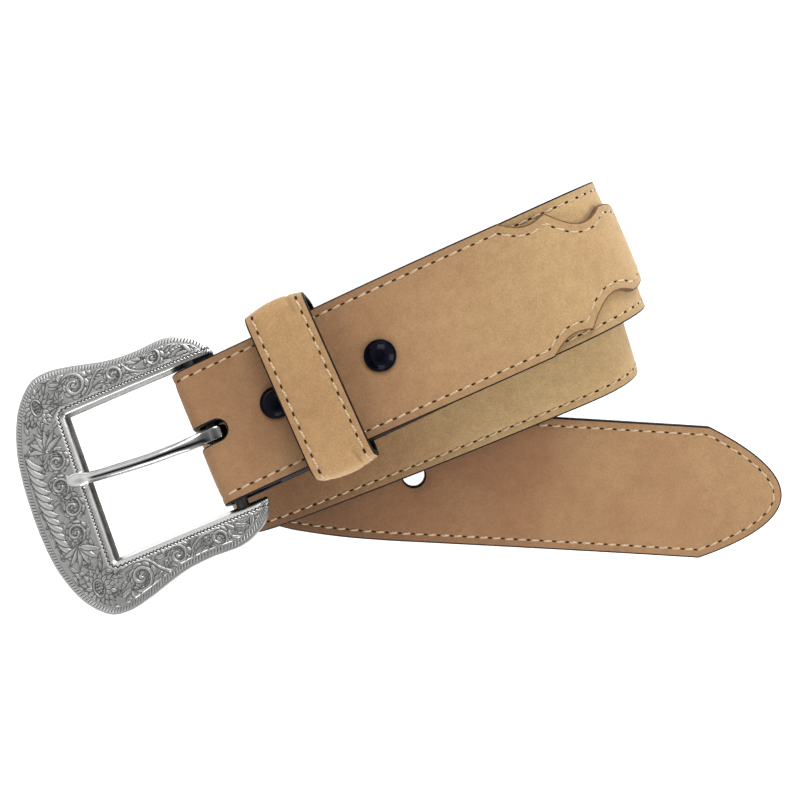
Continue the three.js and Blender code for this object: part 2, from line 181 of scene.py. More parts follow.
class Coil:
    """The strap's middle line, walked through its rows and laid on the floor."""

    def __init__(self) -> None:
        """Walks the rows and lays the floor stretch down at the origin."""
        self.s, frames, starts = self._walk()
        middle = starts[FLOOR_ROW] + COIL_ROWS[FLOOR_ROW].length / 2
        self.frames = self._lay_down(frames, int(round(middle / PATH_STEP)))
        self.length = float(self.s[-1])

    def _walk(self) -> tuple[Array, Frames, list[float]]:
        """Steps along the rows in a frame of their own.

        Returns:
            The distances from the butt end, the frames there, and where each row starts.
        """
        p, t, n = np.zeros(3), np.array([1.0, 0, 0]), np.array([0, 0, -1.0])
        found, starts, s = [(0.0, p, t, n)], [], 0.0
        for row in COIL_ROWS:
            starts.append(s)
            steps = round(row.length / PATH_STEP)
            step = row.length / steps
            share = np.arange(steps + 1) / steps
            share = share - BEND_EASE * np.sin(2 * np.pi * share) / (2 * np.pi)
            twist = math.radians(row.twist / steps)
            for bend in np.radians(row.bend * np.diff(share)):
                axis = np.cross(t, n)
                t = turned(t, axis, bend / 2)
                p = p + t * step
                t = turned(t, axis, bend / 2)
                n = turned(turned(n, axis, bend), t, twist)
                s += step
                found.append((s, p, t, n))
        dist, p, t, n = (np.array(column) for column in zip(*found))
        return dist, Frames(p, t, np.cross(n, t), n), starts

    def _lay_down(self, frames: Frames, at: int) -> Frames:
        """Moves the walk so that its station at lies on the floor with its grain side down.

        Args:
            frames: The frames of the walk.
            at: Index of the station that goes to the origin.

        Returns:
            The same frames in the part's frame.
        """
        heading = math.radians(FLOOR_HEADING)
        t, n = np.array([math.cos(heading), math.sin(heading), 0.0]), np.array([0, 0, 1.0])
        target = np.stack([t, np.cross(n, t), n], 1)
        source = np.stack([frames.t[at], frames.w[at], frames.n[at]], 1)
        turn = target @ source.T
        base = np.array([0, 0, STRAP_THICKNESS / 2])
        p = (frames.p - frames.p[at]) @ turn.T + base
        return Frames(p, frames.t @ turn.T, frames.w @ turn.T, frames.n @ turn.T)

    def at(self, s: Array | float) -> Frames:
        """The frames at distances s from the butt end. Before it the strap runs on straight."""
        s = np.atleast_1d(np.asarray(s, float))
        walk = self.frames
        p, t, w = (between(self.s, values, s) for values in (walk.p, walk.t, walk.w))
        t, w = unit(t), unit(w)
        return Frames(p + walk.t[0] * np.minimum(s, 0)[:, None], t, w, np.cross(t, w))

    def matrix(self, s: float) -> Array:
        """The place of a fitting on the strap: x along it, y across, z out of its grain side."""
        f = self.at(s)
        m = np.eye(4)
        m[:3, 0], m[:3, 1], m[:3, 2], m[:3, 3] = f.t[0], -f.w[0], -f.n[0], f.p[0]
        return m


def placed(points: Array, matrix: Array) -> Array:
    """Points moved by a 4x4 matrix."""
    return points @ matrix[:3, :3].T + matrix[:3, 3]


def turn_matrix(axis: str, degrees: float) -> Array:
    """A 4x4 turn about a main axis."""
    return np.array(Matrix.Rotation(math.radians(degrees), 4, axis))


def make_piece(
    name: str,
    points: Array,
    faces: list | Array,
    materials: list[bpy.types.Material],
    body: Body,
    skins: Array | None = None,
    marks: dict[str, Array] | None = None,
) -> bpy.types.Object:
    """Makes one smooth-shaded piece and lets it ride on its body.

    Args:
        name: The piece's name.
        points: Vertices in mm, in the part's frame.
        faces: Vertex indices of each face.
        materials: The piece's materials.
        body: The CAD body that it rides on.
        skins: Material index of each face.
        marks: Values by vertex that its materials read.

    Returns:
        The object.
    """
    mesh = bpy.data.meshes.new(name)
    mesh.from_pydata((np.asarray(points) * MM).tolist(), [], [list(map(int, f)) for f in faces])
    for material in materials:
        mesh.materials.append(material)
    if skins is not None:
        mesh.polygons.foreach_set("material_index", np.asarray(skins, dtype=np.int32))
    for key, values in (marks or {}).items():
        layer = mesh.attributes.new(key, "FLOAT", "POINT")
        layer.data.foreach_set("value", np.asarray(values, dtype=np.float32))
    mesh.polygons.foreach_set("use_smooth", np.ones(len(mesh.polygons), dtype=bool))
    mesh.update()
    piece = bpy.data.objects.new(name, mesh)
    bpy.context.scene.collection.objects.link(piece)
    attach(piece, body.value)
    log.info("%s: %d vertices, %d faces", name, len(mesh.vertices), len(mesh.polygons))
    return piece


def edge_distance(points: Array, loops: list[Array]) -> Array:
    """Distance of flat points from the nearest side of closed loops."""
    best = np.full(len(points), np.inf)
    batch = 1500
    for loop in loops:
        a, d = loop, np.roll(loop, -1, 0) - loop
        dd = np.maximum((d * d).sum(1), 1e-12)
        for i in range(0, len(points), batch):
            q = points[i:i + batch, None, :] - a[None]
            u = np.clip((q * d).sum(2) / dd, 0, 1)
            gap = np.linalg.norm(q - u[..., None] * d, axis=2).min(1)
            best[i:i + batch] = np.minimum(best[i:i + batch], gap)
    return best


def inside(points: Array, loop: Array) -> Array:
    """Which flat points lie inside a closed loop."""
    result = np.zeros(len(points), bool)
    x, y = points[:, 0], points[:, 1]
    for (x0, y0), (x1, y1) in zip(loop, np.roll(loop, -1, 0)):
        if y0 != y1:
            crossing = (y0 > y) != (y1 > y)
            result ^= crossing & (x < (x1 - x0) * (y - y0) / (y1 - y0) + x0)
    return result


def inset_loop(loop: Array, depth: float) -> Array:
    """A counter-clockwise loop moved inwards by depth, point by point."""
    ahead = unit(np.roll(loop, -1, 0) - loop)
    behind = np.roll(ahead, 1, 0)
    left = np.stack([-ahead[:, 1], ahead[:, 0]], 1) + np.stack([-behind[:, 1], behind[:, 0]], 1)
    left = unit(left)
    sharpest = 0.55
    lean = np.clip(left[:, 0] * -ahead[:, 1] + left[:, 1] * ahead[:, 0], sharpest, 1)
    return loop + left * (depth / lean)[:, None]


def circle(x: float, y: float, radius: float, sides: int) -> Array:
    """A counter-clockwise circle."""
    a = np.arange(sides) * 2 * np.pi / sides
    return np.stack([x + radius * np.cos(a), y + radius * np.sin(a)], 1)


@dataclass
class Panel:
    """A leather piece as it is cut: flat, with its grain side up, x along it and y across.

    outline runs counter-clockwise, cuts are round or slotted holes, and lay maps flat points with
    a height to the part's frame. The two falls say how deep the face sinks at an edge, and how far in.
    """

    name: str
    outline: Array
    thickness: float
    lay: Callable[[Array, Array], Array]
    cuts: list[Array] = field(default_factory=list)
    step: tuple[float, float] = (2.0, 3.0)
    edge_round: float = 0.45
    groove_inset: float = 2.4
    groove_depth: float = 0.16
    groove_width: float = 0.5
    puff: float = 0.12
    puff_reach: float = 5.0
    lining_grooved: bool = True
    edge_fall: Row = (0.1, 0.7)
    hole_fall: Row = (0.12, 0.5)
    ROUND_SHARE: ClassVar[float] = 0.3
    ROUND_DROP: ClassVar[float] = 0.08
    RIM_RING: ClassVar[float] = 0.95
    GROOVE_RINGS: ClassVar[Row] = (-0.75, -0.38, 0, 0.38, 0.75, 1.5)
    RING_SLACK: ClassVar[float] = 0.04
    GRID_MARGIN: ClassVar[float] = 0.8

    def face_height(self, depth: Array, hole: Array) -> Array:
        """Height of the grain face over the panel's middle, by distance from its edge and its holes."""
        (edge_sink, edge_reach), (hole_sink, hole_reach) = self.edge_fall, self.hole_fall
        h = np.full(len(depth), self.thickness / 2)
        h -= edge_sink * np.exp(-depth / edge_reach) + hole_sink * np.exp(-hole / hole_reach)
        h -= self.groove_depth * np.exp(-(((depth - self.groove_inset) / self.groove_width) ** 2))
        h += self.puff * smooth(depth, self.groove_inset, self.groove_inset + self.puff_reach) - self.puff
        return h

    def _face_points(self, rim: list[Array], grooved: bool) -> tuple[Array, list]:
        """Points of one flat face, its rims first.

        Args:
            rim: The outline's and the cuts' loops at the edge of the face.
            grooved: Whether the face has the stitching groove.

        Returns:
            The points, and the rims' edges as index pairs.
        """
        points, edges, start = [], [], 0
        for loop in rim:
            count = len(loop)
            points.append(loop)
            edges += [(start + i, start + (i + 1) % count) for i in range(count)]
            start += count
        insets = [self.RIM_RING]
        if grooved:
            insets += [self.groove_inset + d for d in self.GROOVE_RINGS]
        loops = [self.outline, *self.cuts]
        for depth in insets:
            ring = inset_loop(self.outline, depth)
            points.append(ring[edge_distance(ring, loops) > depth - self.RING_SLACK])
        low, high = self.outline.min(0), self.outline.max(0)
        xs = np.arange(low[0], high[0], self.step[0])
        ys = np.linspace(low[1], high[1], max(3, int((high[1] - low[1]) / self.step[1])) + 1)
        grid = np.stack(np.meshgrid(xs, ys), -1).reshape(-1, 2)
        far = edge_distance(grid, loops) > insets[-1] + self.GRID_MARGIN
        points.append(grid[far & inside(grid, self.outline)])
        return np.concatenate(points), edges

    def _triangles(self, points: Array, edges: list) -> Array:
        """Triangles of a face between its rims."""
        flat = [Vector(p) for p in points.tolist()]
        verts, _, faces, _, _, _ = delaunay_2d_cdt(flat, edges, [], 0, 1e-6, True)
        if len(verts) != len(flat):
            log.warning("%s: the flat cut changed its points", self.name)
        tris = np.array([list(f) for f in faces])
        middle = points[tris].mean(1)
        keep = inside(middle, points[: len(self.outline)])
        start = len(self.outline)
        for cut in self.cuts:
            keep &= ~inside(middle, points[start:start + len(cut)])
            start += len(cut)
        return tris[keep]

    def build(self) -> tuple[Array, list, Array, dict[str, Array], Array]:
        """Cuts the panel and lays it.

        Returns:
            Points in the part's frame, faces, skins, marks for the materials, and the flat points.
        """
        r, half = self.edge_round, self.thickness / 2
        loops = [self.outline, *[cut[::-1] for cut in self.cuts]]
        flat, height, faces, skins, rims = [], [], [], [], {}
        count = 0
        for side in (1, -1):
            rim = [inset_loop(loop, r) for loop in loops]
            rim = [rim[0], *[ring[::-1] for ring in rim[1:]]]
            pts, edges = self._face_points(rim, side > 0 or self.lining_grooved)
            tris = self._triangles(pts, edges)
            hole = edge_distance(pts, self.cuts) if self.cuts else np.full(len(pts), FAR)
            z = self.face_height(edge_distance(pts, [self.outline]), hole) * side
            flat.append(pts)
            height.append(z)
            faces += (tris + count if side > 0 else tris[:, ::-1] + count).tolist()
            skins += [Skin.GRAIN.value if side > 0 else Skin.LINING.value] * len(tris)
            rims[side] = count
            count += len(pts)
        offset = 0
        turn_in = self.ROUND_SHARE * r
        wall = [(turn_in, half - turn_in - self.ROUND_DROP), (0.0, half - r), (0.0, 0.0)]
        wall += [(0.0, r - half), (turn_in, turn_in + self.ROUND_DROP - half)]
        for k, loop in enumerate(loops):
            size = len(loop)
            order = np.arange(size) if k == 0 else np.arange(size)[::-1]
            rows = [rims[1] + offset + order]
            for depth, level in wall:
                flat.append(inset_loop(loop, depth))
                height.append(np.full(size, level))
                rows.append(count + np.arange(size))
                count += size
            rows.append(rims[-1] + offset + order)
            nexts = np.roll(np.arange(size), -1)
            for a, b in zip(rows, rows[1:]):
                faces += np.stack([a, b, b[nexts], a[nexts]], 1).tolist()
                skins += [Skin.EDGE.value] * size
            offset += size
        flat_points, z = np.concatenate(flat), np.concatenate(height)
        marks = {"inset": edge_distance(flat_points, loops)}
        return self.lay(flat_points, z), faces, np.array(skins), marks, flat_points


@dataclass(frozen=True)
class LeatherLine:
    """Cream thread sewn along flat lines of a panel, on one face or on both."""

    pitch: float = 3.7
    length: float = 2.7
    radius: float = 0.33
    flatness: float = 0.85
    lift: float = 0.06
    skew: float = 7.0
    sink: float = 0.34
    sides: int = 7
    # The needle holes are flat dark discs of painted shade.
    hole_half: Row = (0.58, 0.42)
    hole_lift: float = 0.045
    hole_corners: int = 8
    ALONG: ClassVar[Row] = (-1.0, -0.93, -0.6, 0.0, 0.6, 0.93, 1.0)
    GIRTH: ClassVar[Row] = (0.25, 0.72, 0.95, 1.0, 0.95, 0.72, 0.25)
    RISE: ClassVar[Row] = (-1.5, -0.9, -0.25, 0.0, -0.25, -0.9, -1.5)

    def _run(self, line: Array, closed: bool) -> tuple[Array, Array]:
        """Middle points and directions of the stitches along a flat line.

        Args:
            line: The line's points.
            closed: Whether it ends where it starts.

        Returns:
            The stitches' middle points and their directions.
        """
        if closed:
            line = np.vstack([line, line[:1]])
        gaps = np.linalg.norm(np.diff(line, axis=0), axis=1)
        keep = np.concatenate([[True], gaps > 1e-6])
        line = line[keep]
        at = np.concatenate([[0], np.cumsum(gaps[keep[1:]])])
        count = max(2, round(at[-1] / self.pitch))
        marks = (np.arange(count) + 0.5) * at[-1] / count
        reach = self.length / 2
        middle, ahead, behind = (between(at, line, marks + d) for d in (0, reach, -reach))
        return middle, unit(ahead - behind + TINY)

    def thread(
        self, panel: Panel, lines: list[tuple[Array, bool]], sides: tuple[int, ...]
    ) -> tuple[Array, Array]:
        """Builds every stitch of a panel as a short sunk length of thread.

        Args:
            panel: The panel that is sewn.
            lines: Flat lines, each with whether it is closed.
            sides: 1 for the grain face, -1 for the lining.

        Returns:
            The points in the part's frame, and the quads.
        """
        girth, rise = np.array(self.GIRTH), np.array(self.RISE) * self.sink
        a = np.arange(self.sides) * 2 * np.pi / self.sides
        u = np.repeat(np.array(self.ALONG) * self.length / 2, self.sides)
        v = (girth[:, None] * np.cos(a) * self.radius).ravel()
        h = (rise[:, None] + girth[:, None] * np.sin(a) * self.radius * self.flatness).ravel()
        lean = math.radians(self.skew)
        points, quads, count = [], [], 0
        cell = tube_quads(len(girth), self.sides)
        surface = panel.thickness / 2 - panel.groove_depth - panel.puff + self.lift
        for line, closed in lines:
            middle, way = self._run(line, closed)
            for side in sides:
                c, s = math.cos(lean * side), math.sin(lean * side)
                ways = np.stack([way[:, 0] * c - way[:, 1] * s, way[:, 0] * s + way[:, 1] * c], 1)
                across = np.stack([-ways[:, 1], ways[:, 0]], 1)
                flat = middle[:, None] + u[None, :, None] * ways[:, None] + v[None, :, None] * across[:, None]
                flat = flat.reshape(-1, 2)
                z = side * (surface + np.tile(h, len(middle)))
                points.append(panel.lay(flat, z))
                order = cell if side > 0 else cell[:, ::-1]
                starts = count + np.arange(len(middle)) * len(u)
                quads.append((starts[:, None, None] + order[None]).reshape(-1, 4))
                count += len(flat)
        return np.concatenate(points), np.concatenate(quads)

    def holes(
        self, panel: Panel, lines: list[tuple[Array, bool]], sides: tuple[int, ...]
    ) -> tuple[Array, list]:
        """Flat dark discs of painted shade at the needle holes between the stitches.

        Args:
            panel: The panel that is sewn.
            lines: Flat lines, each with whether it is closed.
            sides: 1 for the grain face, -1 for the lining.

        Returns:
            The points in the part's frame, and the faces.
        """
        corners = self.hole_corners
        half_length, half_width = self.hole_half
        a = np.arange(corners) * 2 * np.pi / corners
        points, faces, count = [], [], 0
        surface = panel.thickness / 2 - panel.groove_depth - panel.puff + self.hole_lift
        for line, closed in lines:
            middle, way = self._run(line, closed)
            across = np.stack([-way[:, 1], way[:, 0]], 1)
            centre = middle + way * self.pitch / 2
            for side in sides:
                ring = (
                    centre[:, None]
                    + half_length * np.cos(a)[None, :, None] * way[:, None]
                    + half_width * np.sin(a)[None, :, None] * across[:, None]
                )
                flat = ring.reshape(-1, 2)
                points.append(panel.lay(flat, np.full(len(flat), side * surface)))
                order = np.arange(corners) if side > 0 else np.arange(corners)[::-1]
                faces += [(count + i * corners + order).tolist() for i in range(len(centre))]
                count += len(flat)
        return np.concatenate(points), faces

    def sew(
        self, panel: Panel, lines: list[tuple[Array, bool]], sides: tuple[int, ...], finishes: "Finishes"
    ) -> None:
        """Makes a panel's stitches, and dark discs of painted shade at its needle holes, as two pieces.

        Args:
            panel: The panel that is sewn.
            lines: Flat lines, each with whether it is closed.
            sides: 1 for the grain face, -1 for the lining.
            finishes: The materials.
        """
        part = panel.name.removesuffix("_leather")
        made = ((self.thread, "stitches", finishes.thread), (self.holes, "needle_hole_shade_discs", finishes.needle_shade))
        for build, kind, material in made:
            points, faces = build(panel, lines, sides)
            make_piece(f"{part}_{kind}", points, faces, [material], Body.BELT)


def sewn_line(outline: Array, inset: float) -> Array:
    """The line at an inset from an outline, without the points that cross over at its corners."""
    slack = 0.12
    ring = inset_loop(outline, inset)
    return ring[edge_distance(ring, [outline]) > inset - slack]


class Shader:
    """A material's node tree, built by short calls."""

    def __init__(self, name: str) -> None:
        """Starts a material with a Principled surface."""
        self.material = bpy.data.materials.new(name)
        self.material.use_nodes = True
        self.tree = self.material.node_tree
        self.tree.nodes.clear()
        self.surface = self.tree.nodes.new("ShaderNodeBsdfPrincipled")
        output = self.tree.nodes.new("ShaderNodeOutputMaterial")
        self.tree.links.new(self.surface.outputs[0], output.inputs["Surface"])

    def add(self, kind: str, settings: dict | None = None, **inputs: object) -> bpy.types.NodeSocket:
        """Adds a node and returns its main output.

        Args:
            kind: The node's type, without the ShaderNode prefix.
            settings: Its own properties.
            **inputs: Its inputs by name, with spaces as underscores: a value or a socket.

        Returns:
            The first output that is in use.
        """
        node = self.tree.nodes.new("ShaderNode" + kind)
        for key, value in (settings or {}).items():
            setattr(node, key, value)
        for key, value in inputs.items():
            self.feed(node, key.replace("_", " "), value)
        return next(out for out in node.outputs if out.enabled)

    def feed(self, node: bpy.types.Node, key: str, value: object) -> None:
        """Links a socket into an input, or sets the input's value."""
        found = [s for s in node.inputs if s.enabled and s.name == key] or [node.inputs[int(key[1:])]]
        if isinstance(value, bpy.types.NodeSocket):
            self.tree.links.new(value, found[0])
        else:
            found[0].default_value = value

    def set(self, **inputs: object) -> None:
        """Sets or links inputs of the Principled surface."""
        for key, value in inputs.items():
            self.feed(self.surface, key.replace("_", " "), value)

    def math(self, operation: str, a: object, b: object = 0.0, clamp: bool = False) -> bpy.types.NodeSocket:
        """A Math node of two values."""
        return self.add("Math", {"operation": operation, "use_clamp": clamp}, _0=a, _1=b)

    def mix(self, share: object, a: object, b: object) -> bpy.types.NodeSocket:
        """Mixes two colours, each given as a colour or a socket, by a share."""
        node = self.tree.nodes.new("ShaderNodeMix")
        node.data_type = "RGBA"
        self.feed(node, "Factor", share)
        for key, value in (("A", a), ("B", b)):
            self.feed(node, key, value if isinstance(value, bpy.types.NodeSocket) else (*value, 1))
        return next(out for out in node.outputs if out.enabled)

    def mark(self, name: str) -> bpy.types.NodeSocket:
        """A value that the mesh carries by vertex."""
        node = self.tree.nodes.get(name) or self.tree.nodes.new("ShaderNodeAttribute")
        node.name = node.attribute_name = name
        return node.outputs["Fac"]

    def noise(self, scale: float, detail: float = 4.0, roughness: float = 0.55) -> bpy.types.NodeSocket:
        """Noise over the object, with its scale in cells per metre."""
        look = {"Scale": scale, "Detail": detail, "Roughness": roughness}
        return self.add("TexNoise", None, Vector=self.place(), **look)

    def place(self) -> bpy.types.NodeSocket:
        """The object's own coordinates."""
        node = self.tree.nodes.get("place") or self.tree.nodes.new("ShaderNodeTexCoord")
        node.name = "place"
        return node.outputs["Object"]

    def ramp(self, value: object, low: float, high: float) -> bpy.types.NodeSocket:
        """A value stretched so that low becomes 0 and high becomes 1, and clamped."""
        node = self.tree.nodes.new("ShaderNodeMapRange")
        self.feed(node, "Value", value)
        self.feed(node, "From Min", low)
        self.feed(node, "From Max", high)
        return node.outputs["Result"]

    def bump(self, height: object, distance: float, strength: float = 1.0) -> None:
        """Adds fine relief to the surface, with its full height in metres."""
        self.set(Normal=self.add("Bump", None, Height=height, Distance=distance, Strength=strength))


@dataclass(frozen=True)
class Finish:
    """A finish that builds its own material."""

    name: str

    def make(self) -> bpy.types.Material:
        """Builds the material."""
        s = Shader(self.name)
        self.dress(s)
        return s.material

    def dress(self, s: Shader) -> None:
        """Sets up the surface of the finish."""
        raise NotImplementedError


@dataclass(frozen=True)
class Nubuck(Finish):
    """Tan nubuck: a brown and a yellower tone, fine nap and pull-up along the bends, darkened by painted
    shade from the shade mark.
    """

    brown: Colour = (0.285, 0.14, 0.068)
    yellow: Colour = (0.49, 0.335, 0.158)
    dark: Colour = (0.15, 0.072, 0.034)

    def dress(self, s: Shader) -> None:
        """Sets up the surface of the finish."""
        clouds = s.ramp(s.noise(38, 3), 0.3, 0.7)
        nap, hide = s.math("MULTIPLY", s.noise(1900, 4, 0.7), 0.7), s.math("MULTIPLY", s.noise(350, 4), 0.3)
        grain = s.math("ADD", nap, hide)
        pores = s.add("TexVoronoi", {"feature": "F1"}, Vector=s.place(), Scale=1500.0)
        light = s.math("ADD", s.mark("light"), s.math("MULTIPLY", s.math("SUBTRACT", clouds, 0.5), 0.3), True)
        colour = s.mix(light, self.brown, self.yellow)
        near_edge = s.ramp(s.mark("inset"), 2.9, 1.2)
        mottle = s.ramp(grain, 0.4, 0.6)
        shade = s.math("ADD", s.math("MULTIPLY", near_edge, 0.12), s.math("MULTIPLY", mottle, 0.34))
        # The shade mark is painted shade. It joins the edge darkening and the grain's mottle in mixing
        # towards the dark tone.
        shade = s.math("ADD", shade, s.mark("shade"), True)
        colour = s.mix(shade, colour, self.dark)
        s.set(Base_Color=colour, Roughness=0.82, Sheen_Weight=0.12, Sheen_Roughness=0.5)
        s.set(Specular_IOR_Level=0.25)
        s.bump(s.math("ADD", grain, s.math("MULTIPLY", pores, 0.5)), 0.00012, 0.55)


@dataclass(frozen=True)
class PaintedEdge(Finish):
    """Black edge paint on cut leather, a little uneven and worn."""

    black: Colour = (0.004, 0.0035, 0.004)
    worn: Colour = (0.022, 0.018, 0.017)

    def dress(self, s: Shader) -> None:
        """Sets up the surface of the finish."""
        wear = s.ramp(s.noise(420, 4, 0.6), 0.5, 0.8)
        s.set(Base_Color=s.mix(wear, self.black, self.worn))
        s.set(Roughness=s.add("MapRange", None, Value=wear, To_Min=0.5, To_Max=0.7))
        s.set(Specular_IOR_Level=0.15)
        s.bump(s.noise(700, 3), 0.0001, 0.4)


@dataclass(frozen=True)
class CutEdge(Finish):
    """The unpainted brown edge of the scallops."""

    brown: Colour = (0.1, 0.05, 0.026)
    pale: Colour = (0.2, 0.11, 0.058)

    def dress(self, s: Shader) -> None:
        """Sets up the surface of the finish."""
        fibre = s.ramp(s.noise(900, 4, 0.7), 0.35, 0.7)
        s.set(Base_Color=s.mix(fibre, self.brown, self.pale), Roughness=0.85, Specular_IOR_Level=0.15)
        s.bump(fibre, 0.0001, 0.5)


@dataclass(frozen=True)
class Lining(Finish):
    """Smooth dark lining leather with a fine printed grain."""

    tone: Colour = (0.022, 0.02, 0.021)
    light: Colour = (0.05, 0.045, 0.043)

    def dress(self, s: Shader) -> None:
        """Sets up the surface of the finish."""
        grain = s.add("TexVoronoi", {"feature": "DISTANCE_TO_EDGE"}, Vector=s.place(), Scale=900.0)
        clouds = s.ramp(s.noise(60, 3), 0.3, 0.75)
        s.set(Base_Color=s.mix(clouds, self.tone, self.light), Roughness=0.55)
        s.bump(s.ramp(grain, 0.0, 0.12), 0.00012, 0.5)


@dataclass(frozen=True)
class Thread(Finish):
    """Twisted cream sewing thread."""

    cream: Colour = (0.56, 0.42, 0.26)
    shade: Colour = (0.32, 0.21, 0.115)

    def dress(self, s: Shader) -> None:
        """Sets up the surface of the finish."""
        diagonal = {"bands_direction": "DIAGONAL"}
        twist = s.add("TexWave", diagonal, Vector=s.place(), Scale=900.0, Distortion=2.0)
        s.set(Base_Color=s.mix(s.ramp(twist, 0.55, 0.0), self.cream, self.shade), Roughness=0.6)
        s.set(Sheen_Weight=0.25)
        s.bump(twist, 0.0001, 0.6)


@dataclass(frozen=True)
class NeedleHoleShade(Finish):
    """Painted shade for a needle hole: near-black with faint brown flecks."""

    tone: Colour = (0.02, 0.012, 0.008)
    fleck: Colour = (0.06, 0.035, 0.02)

    def dress(self, s: Shader) -> None:
        """Sets up the surface of the finish."""
        fleck = s.ramp(s.noise(1500, 2), 0.4, 0.8)
        s.set(Base_Color=s.mix(fleck, self.tone, self.fleck), Roughness=0.9)
        s.set(Specular_IOR_Level=0.05)


@dataclass(frozen=True)
class AntiqueSilver(Finish):
    """Cast and bright-cut silver plate, with a wriggled line, a roped rim, patina where it is low, and
    painted shade along part of the window's edge.
    """

    bright: Colour = (0.7, 0.695, 0.685)
    patina: Colour = (0.03, 0.029, 0.028)
    wriggle_at: float = 2.35
    wriggle_pitch: float = 0.95
    rope_at: float = ROPE_AT
    rope_pitch: float = 0.9

    def dress(self, s: Shader) -> None:
        """Sets up the surface of the finish."""
        clouds = s.ramp(s.noise(260, 5, 0.65), 0.35, 0.7)
        cut = self._cuts(s)
        # The mark holds patina and painted shade. low mixes them with the cuts towards the dark tone.
        low = s.math("MAXIMUM", s.math("ADD", s.mark("patina_and_painted_shade"), s.math("MULTIPLY", clouds, 0.12)), cut, True)
        s.set(Base_Color=s.mix(low, self.bright, self.patina), Metallic=1.0)
        rough = s.math("ADD", s.math("MULTIPLY", low, 0.3), s.math("MULTIPLY", clouds, 0.08))
        s.set(Roughness=s.math("ADD", rough, 0.2, True))
        fine = s.math("MULTIPLY", s.noise(2600, 3), 0.12)
        s.bump(s.math("SUBTRACT", fine, cut), 0.00014, 0.6)

    def _cuts(self, s: Shader) -> bpy.types.NodeSocket:
        """How dark the wriggled line and the rope's grooves are, by the marks that the mesh carries."""
        inner, outer = s.mark("inner_gap"), s.mark("outer_gap")
        swing = s.math("PINGPONG", s.mark("inner_way"), self.wriggle_pitch / 2)
        off = s.math("SUBTRACT", s.math("SUBTRACT", inner, self.wriggle_at), swing)
        line = s.ramp(s.math("ABSOLUTE", s.math("ADD", off, self.wriggle_pitch / 4)), 0.32, 0.14)
        slant = s.math("ADD", s.mark("outer_way"), s.math("MULTIPLY", outer, 0.45))
        ticks = s.ramp(s.math("PINGPONG", slant, self.rope_pitch / 2), 0.22, 0.08)
        band = s.ramp(s.math("ABSOLUTE", s.math("SUBTRACT", outer, self.rope_at)), 0.7, 0.5)
        rail = s.ramp(s.math("ABSOLUTE", s.math("SUBTRACT", outer, self.rope_at + 0.75)), 0.2, 0.1)
        rope = s.math("MAXIMUM", s.math("MULTIPLY", ticks, band), s.math("MULTIPLY", rail, 0.6))
        return s.math("MAXIMUM", line, rope, True)


@dataclass(frozen=True)
class PaintedShadeNickel(Finish):
    """Polished nickel with a painted dark reflection along the prong, and painted shade on its flanks and
    curl.
    """

    tone: Colour = (0.74, 0.735, 0.73)
    rubbed: Colour = (0.62, 0.615, 0.61)
    painted_shade_and_reflection: Colour = (0.01, 0.01, 0.011)

    def dress(self, s: Shader) -> None:
        """Sets up the surface of the finish."""
        clouds = s.ramp(s.noise(300, 4, 0.6), 0.35, 0.7)
        nickel = s.mix(clouds, self.tone, self.rubbed)
        # The mark mixes in the dark tone as painted shade and painted reflection.
        s.set(Base_Color=s.mix(s.mark("painted_shade_and_reflection"), nickel, self.painted_shade_and_reflection), Metallic=1.0)
        s.set(Roughness=s.add("MapRange", None, Value=clouds, To_Min=0.07, To_Max=0.14))
        s.bump(s.noise(1800, 2), 0.00004, 0.3)


@dataclass(frozen=True)
class BlackEnamel(Finish):
    """Glossy black enamel with a blue cast and light handling marks."""

    tone: Colour = (0.0015, 0.0016, 0.005)
    dusty: Colour = (0.004, 0.0045, 0.009)

    def dress(self, s: Shader) -> None:
        """Sets up the surface of the finish."""
        marks = s.ramp(s.noise(700, 5, 0.7), 0.45, 0.75)
        s.set(Base_Color=s.mix(marks, self.tone, self.dusty), Specular_IOR_Level=0.07)
        s.set(Roughness=s.add("MapRange", None, Value=marks, To_Min=0.16, To_Max=0.3))
        s.bump(s.noise(900, 3), 0.00003, 0.25)


@dataclass(frozen=True)
class PaleFloor(Finish):
    """A plain pale floor, lit from below like a light table."""

    tone: Colour = (0.95, 0.95, 0.95)
    glow: float = 0.4

    def dress(self, s: Shader) -> None:
        """Sets up the surface of the finish."""
        tone = (*self.tone, 1)
        s.set(Base_Color=tone, Roughness=0.7, Specular_IOR_Level=0.1)
        s.set(Emission_Color=tone, Emission_Strength=self.glow)


def catmull(points: Array, steps: int, closed: bool = False) -> Array:
    """A smooth curve through points, with a number of steps between each two."""
    if closed:
        ends = np.vstack([points[-1:], points, points[:2]])
    else:
        ends = np.vstack([points[:1], points, points[-1:]])
    t = (np.arange(steps) / steps)[:, None]
    runs = []
    for p0, p1, p2, p3 in zip(ends, ends[1:], ends[2:], ends[3:]):
        v0, v1 = (p2 - p0) / 2, (p3 - p1) / 2
        cubic, square = 2 * p1 - 2 * p2 + v0 + v1, -3 * p1 + 3 * p2 - 2 * v0 - v1
        runs.append(cubic * t**3 + square * t**2 + v0 * t + p1)
    if not closed:
        runs.append(points[-1:])
    return np.vstack(runs)


def spaced_evenly(line: Array, count: int) -> Array:
    """Points at even distances along a line."""
    at = distances(line)
    return between(at, line, np.linspace(0, at[-1], count))


